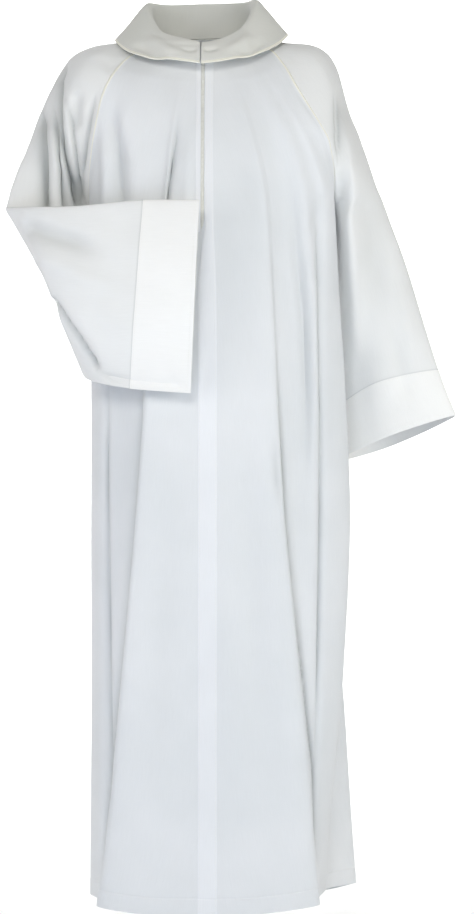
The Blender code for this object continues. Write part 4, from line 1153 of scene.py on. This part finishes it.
# %% Zip
TOOTH_PITCH = 1.5
COIL_X = 3.8                # between the edges of the two strips
COIL_STOP = 9               # the coil ends this far above the zip's end
TOOTH = (1.25, 0.5, 1.5, 0.8)       # half width, half length, height, and how much its top narrows to
TOOTH_SIDE, TOOTH_SINK = 0.85, 0.1  # how far it stands off the middle, and sinks into the tape
out["zip"] = facing_of(GRIDS["zip"])
cloth_piece("zip", TAPE, tape_cloth, "zip tape")


def walk(points, outward, pitch):
    """Even places along a line: their points, forward directions and outward directions."""
    run = lengths(points)
    at = np.arange(pitch / 2, run[-1], pitch)
    place, up = (np.stack([np.interp(at, run, rows[:, i]) for i in range(3)], axis=1)
                 for rows in (points, outward))
    return place, unit(np.gradient(place, axis=0)), unit(up)


def repeated(shape_points, shape_faces, place, forward, up):
    """Copies of a small shape, joined as one. Its x runs sideways, its y forward and its z outward."""
    points = place[:, None]
    for i, axis in enumerate((np.cross(forward, up), forward, up)):
        points = points + shape_points[:, i, None] * axis[:, None]
    count = np.arange(len(place))[:, None, None] * len(shape_points)
    return points.reshape(-1, 3), (shape_faces + count).reshape(-1, shape_faces.shape[1])


def rounded_bar(half_width, half_length, height, taper):
    """A short bar with sloping sides, as points and faces."""
    low = [(x * half_width, y * half_length, 0) for x, y in ((-1, -1), (1, -1), (1, 1), (-1, 1))]
    high = [(x * taper, y * taper, height) for x, y, _ in low]
    sides = [(i, (i + 1) % 4, 4 + (i + 1) % 4, 4 + i) for i in range(4)]
    return np.array(low + high), np.array(sides + [(4, 5, 6, 7), (3, 2, 1, 0)])


def joined_parts(parts):
    """Several lists of points and faces, as one."""
    starts = np.cumsum([0] + [len(points) for points, _ in parts])
    return (np.concatenate([points for points, _ in parts]),
            np.concatenate([faces + start for (_, faces), start in zip(parts, starts)]))


column = int(np.argmin(np.abs(GRIDS["zip"][0, :, 0] - COIL_X)))
place, forward, up = walk(GRIDS["zip"][:, column], out["zip"][:, column], TOOTH_PITCH)
place[:, 0] = COIL_X
above_end = place[:, 2] > ZIP_END + COIL_STOP
place, forward, up = place[above_end], forward[above_end], up[above_end]
teeth = []
for side, shift in ((-1, 0.0), (1, TOOTH_PITCH / 2)):
    points, faces = rounded_bar(*TOOTH)
    points += (side * TOOTH_SIDE, shift, TAPE / 2 - TOOTH_SINK)
    teeth.append(repeated(points, faces, place, forward, up))
coil, _ = mesh_object("zip_coil", *joined_parts(teeth), coil_nylon, sharp=35)
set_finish(coil, "zip tape")
print("coil:", 2 * len(place), "teeth")

# %% Slider
SLIDER_OUTLINE = [(-2.3, 3.4), (-1.7, 4.5), (-0.5, 4.1), (0, 3.5), (0.5, 4.1), (1.7, 4.5), (2.3, 3.4),
                  (2.2, 1.0), (1.6, -3.2), (1.0, -4.3), (-1.0, -4.3), (-1.6, -3.2), (-2.2, 1.0)]
LOOP = [(-0.7, 2.2), (0.7, 2.2), (0.7, -1.6), (-0.7, -1.6)]
PULL = [(-0.9, -0.6), (0.9, -0.6), (1.2, -3.0), (1.1, -4.2), (-1.1, -4.2), (-1.2, -3.0)]
SLIDER_PLATES = [
    # outline, thickness, height and bevel
    (SLIDER_OUTLINE, 0.8, 0.35, 0.3),
    (SLIDER_OUTLINE, 0.7, 1.55, 0.3),
    (LOOP, 0.6, 2.1, 0.25),
    (PULL, 0.45, 2.6, 0.18),
]
SLIDER_DOWN = 4.0           # from the coil's first tooth to the slider's middle


def outline_body(outline, thick, height, bevel):
    """A flat body with rounded edges, from its outline seen from the front; z is outward."""
    outline = np.asarray(outline, float)
    half, middle, sides = thick / 2, outline.mean(axis=0), len(outline)
    inward = unit(middle - outline)
    rings = [np.column_stack([outline - inward * shrink, np.full(sides, z)])
             for z, shrink in ((-half, -bevel), (bevel - half, 0), (half - bevel, 0), (half, -bevel))]
    points = np.concatenate(rings + [[[*middle, -half]], [[*middle, half]]])
    faces = []
    for ring in range(3):
        for i in range(sides):
            a, b = ring * sides + i, ring * sides + (i + 1) % sides
            faces += [(a, b, b + sides), (a, b + sides, a + sides)]
    for i in range(sides):
        k = (i + 1) % sides
        faces += [(4 * sides, k, i), (4 * sides + 1, 3 * sides + i, 3 * sides + k)]
    return points + (0, 0, height + TAPE / 2), np.array(faces)


points, faces = joined_parts([outline_body(*plate) for plate in SLIDER_PLATES])
down = forward[:1] * (1 if forward[0, 2] < 0 else -1)
slider_place = place[:1] + down * SLIDER_DOWN
slider_points, slider_faces = repeated(points * (1, -1, 1), faces[:, ::-1], slider_place, down, up[:1])
slider, _ = mesh_object("zip_slider_body", slider_points, slider_faces, slider_paint, sharp=40)
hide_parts("zip_slider")
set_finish(slider, "zip slider")
print("slider:", len(slider_faces), "faces at height", round(float(slider_place[0, 2])), "mm")

# %% [markdown]
# ## Topstitching
# The raglan seams, the cuffs, the collar, the fly and the hem are all topstitched, with a stitch of about
# 3 mm. Each stitch is a small raised bar of thread, sunk into the cloth at both ends. The stitches of one
# piece are joined into one mesh.

# %% Stitch lines
STITCH, STITCH_GAP = 2.3, 0.9
STITCH_SHAPE = (np.array([(0, -STITCH / 2, -0.1), (0, STITCH / 2, -0.1), (-0.3, 0, 0.0), (0.3, 0, 0.0),
                          (0, -0.6, 0.26), (0, 0.6, 0.26)]),
                np.array([(0, 4, 2), (0, 3, 4), (1, 2, 5), (1, 5, 3), (2, 4, 5), (3, 5, 4)]))
SEAM_INSET, SLIT_INSET, CUFF_INSET, RIM_INSET, FLY_RIGHT_INSET = 4.6, 4.0, 2.6, 6.0, 2.0
every, inner, in_yoke, in_slit = slice(None), slice(2, -2), slice(2, YOKE_END), slice(30, -5)     # rows
hem_line = (-1, HEM_DEPTH, every, True)
cuff_lines = (BAND_CLOTH, [(0, CUFF_INSET, every, True), (-1, RIM_INSET, every, True)])
STITCHES = {    # a line's edge, distance from it, rows, and whether it runs along the rows
    "front_left": (CLOTH, [(-1, SEAM_INSET, in_yoke, False), hem_line]),
    "front_right": (CLOTH, [(0, SEAM_INSET, in_yoke, False), hem_line]),
    "back": (CLOTH, [(0, SEAM_INSET, in_yoke, False), (-1, SEAM_INSET, in_yoke, False), hem_line]),
    "cuff_left": cuff_lines,
    "cuff_right": cuff_lines,
    "collar": (BAND_CLOTH, [(-1, RIM_INSET, inner, True), (0, SLIT_INSET, in_slit, False),
                            (-1, SLIT_INSET, in_slit, False)]),
    "fly_left": (STRIP_CLOTH, [(0, CUFF_INSET, inner, False), (-1, CUFF_INSET, inner, False)]),
    "fly_right": (STRIP_CLOTH, [(0, FLY_RIGHT_INSET, inner, False)]),
}


def stitch_line(name, thick, edge, distance, rows, along_rows):
    """Stitches at a distance from a side edge of a piece, or from its top or bottom edge, on its face."""
    grid, facing = GRIDS[name], out[name]
    if along_rows:
        grid, facing = grid.swapaxes(0, 1), facing.swapaxes(0, 1)
    run, order = from_edge(grid, edge < 0), slice(None, None, -1 if edge < 0 else 1)
    points, outward = (np.array([[np.interp(distance, place[order], row[order, i]) for i in range(3)]
                                 for place, row in zip(run[rows], values[rows])])
                       for values in (grid, facing))
    outward = unit(outward)
    return repeated(*STITCH_SHAPE, *walk(points + outward * thick / 2, outward, STITCH + STITCH_GAP))


stitching = {}
for name, (thick, lines) in STITCHES.items():
    rows = [stitch_line(name, thick, *line) for line in lines]
    stitching[name], _ = mesh_object(name + "_stitches", *joined_parts(rows), thread, sharp=80)
    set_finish(stitching[name], PIECES[name]["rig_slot"])
    print(f"{name}: {sum(len(faces) for _, faces in rows) // len(STITCH_SHAPE[1])} stitches")

# %% [markdown]
# ## The cloth, as cut
# Each piece's flat cut is measured along the cloth, and a table lists what each piece rests on. The
# right fly strip is narrower than a finger, so the table leaves it out; it is sewn to a front.

# %% Sheets
RESTS_ON = {"front_left": [], "front_right": [], "back": [], "sleeve_left": [], "sleeve_right": [],
            "cuff_left": ["sleeve_left"], "cuff_right": ["sleeve_right"],
            "collar": ["front_left", "front_right", "back"], "fly_left": ["front_left"],
            "zip": ["front_left", "front_right"]}
for name, below in RESTS_ON.items():
    width, length, area = cut_size(GRIDS[name])

# %% [markdown]
# ## Floor
# Plain pale paper, which lies under the hem and curves up far behind it. It isn't part of the robe. It
# shows from its face only, so the back of the robe can be looked at through the paper. In front of the
# robe it is a shade cooler, so the light that it throws up onto the skirt is a little blue.

# %% Paper
PAPER_FRONT, PAPER_BEND, PAPER_BACK, PAPER_TOP, PAPER_SIDE = -20.0, 2.2, 3.6, 4.0, 20.0     # metres
FLOOR = -1.56
BEND_STEPS = 25
COOL_FRONT, PALE_BACK = "#D8DFEA", "#FBFBFA"
TINT_FADE = (-0.6, 0.05)        # the paper changes tone between these values of y
bend = PAPER_BACK - PAPER_BEND
turns = np.linspace(0, math.pi / 2, BEND_STEPS)
profile = [(PAPER_FRONT, FLOOR),
           *((PAPER_BEND + bend * math.sin(turn), FLOOR + bend * (1 - math.cos(turn))) for turn in turns),
           (PAPER_BACK, PAPER_TOP)]
mesh = bpy.data.meshes.new("paper")
mesh.from_pydata([(x, y, z) for y, z in profile for x in (-PAPER_SIDE, PAPER_SIDE)], [],
                 [(2 * i, 2 * i + 1, 2 * i + 3, 2 * i + 2) for i in range(len(profile) - 1)])
mesh.shade_smooth()
paper, tree, face = new_material("studio paper", {"Roughness": 0.95})
toward_back = node(tree, "SeparateXYZ", Vector=node(tree, "TexCoord").outputs["Object"]).outputs["Y"]
past_robe = map_range(tree, toward_back, *TINT_FADE, way="SMOOTHSTEP")
tint = node(tree, "Mix", {"data_type": "RGBA", 6: linear(COOL_FRONT), 7: linear(PALE_BACK)}, _0=past_robe)
connect(face, {"Base Color": tint.outputs[2]})
behind = node(tree, "NewGeometry").outputs["Backfacing"]
one_sided = node(tree, "MixShader", _0=behind, _1=face, _2=node(tree, "BsdfTransparent"))
connect(tree.nodes["Material Output"], {"Surface": one_sided})
mesh.materials.append(paper)
add_object("backdrop", mesh)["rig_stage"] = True
print("paper at height", FLOOR)

# %% [markdown]
# ## Finish
# The robe's size is printed beside the size of its solids.

# %% Size and finish
sizes = {"solids": [list(corner) for corner in solid_box], "shown": [list(corner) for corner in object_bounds()]}
for name, (low, high) in sizes.items():
    print(name, [round((b - a) / MM, 1) for a, b in zip(low, high)], "mm")
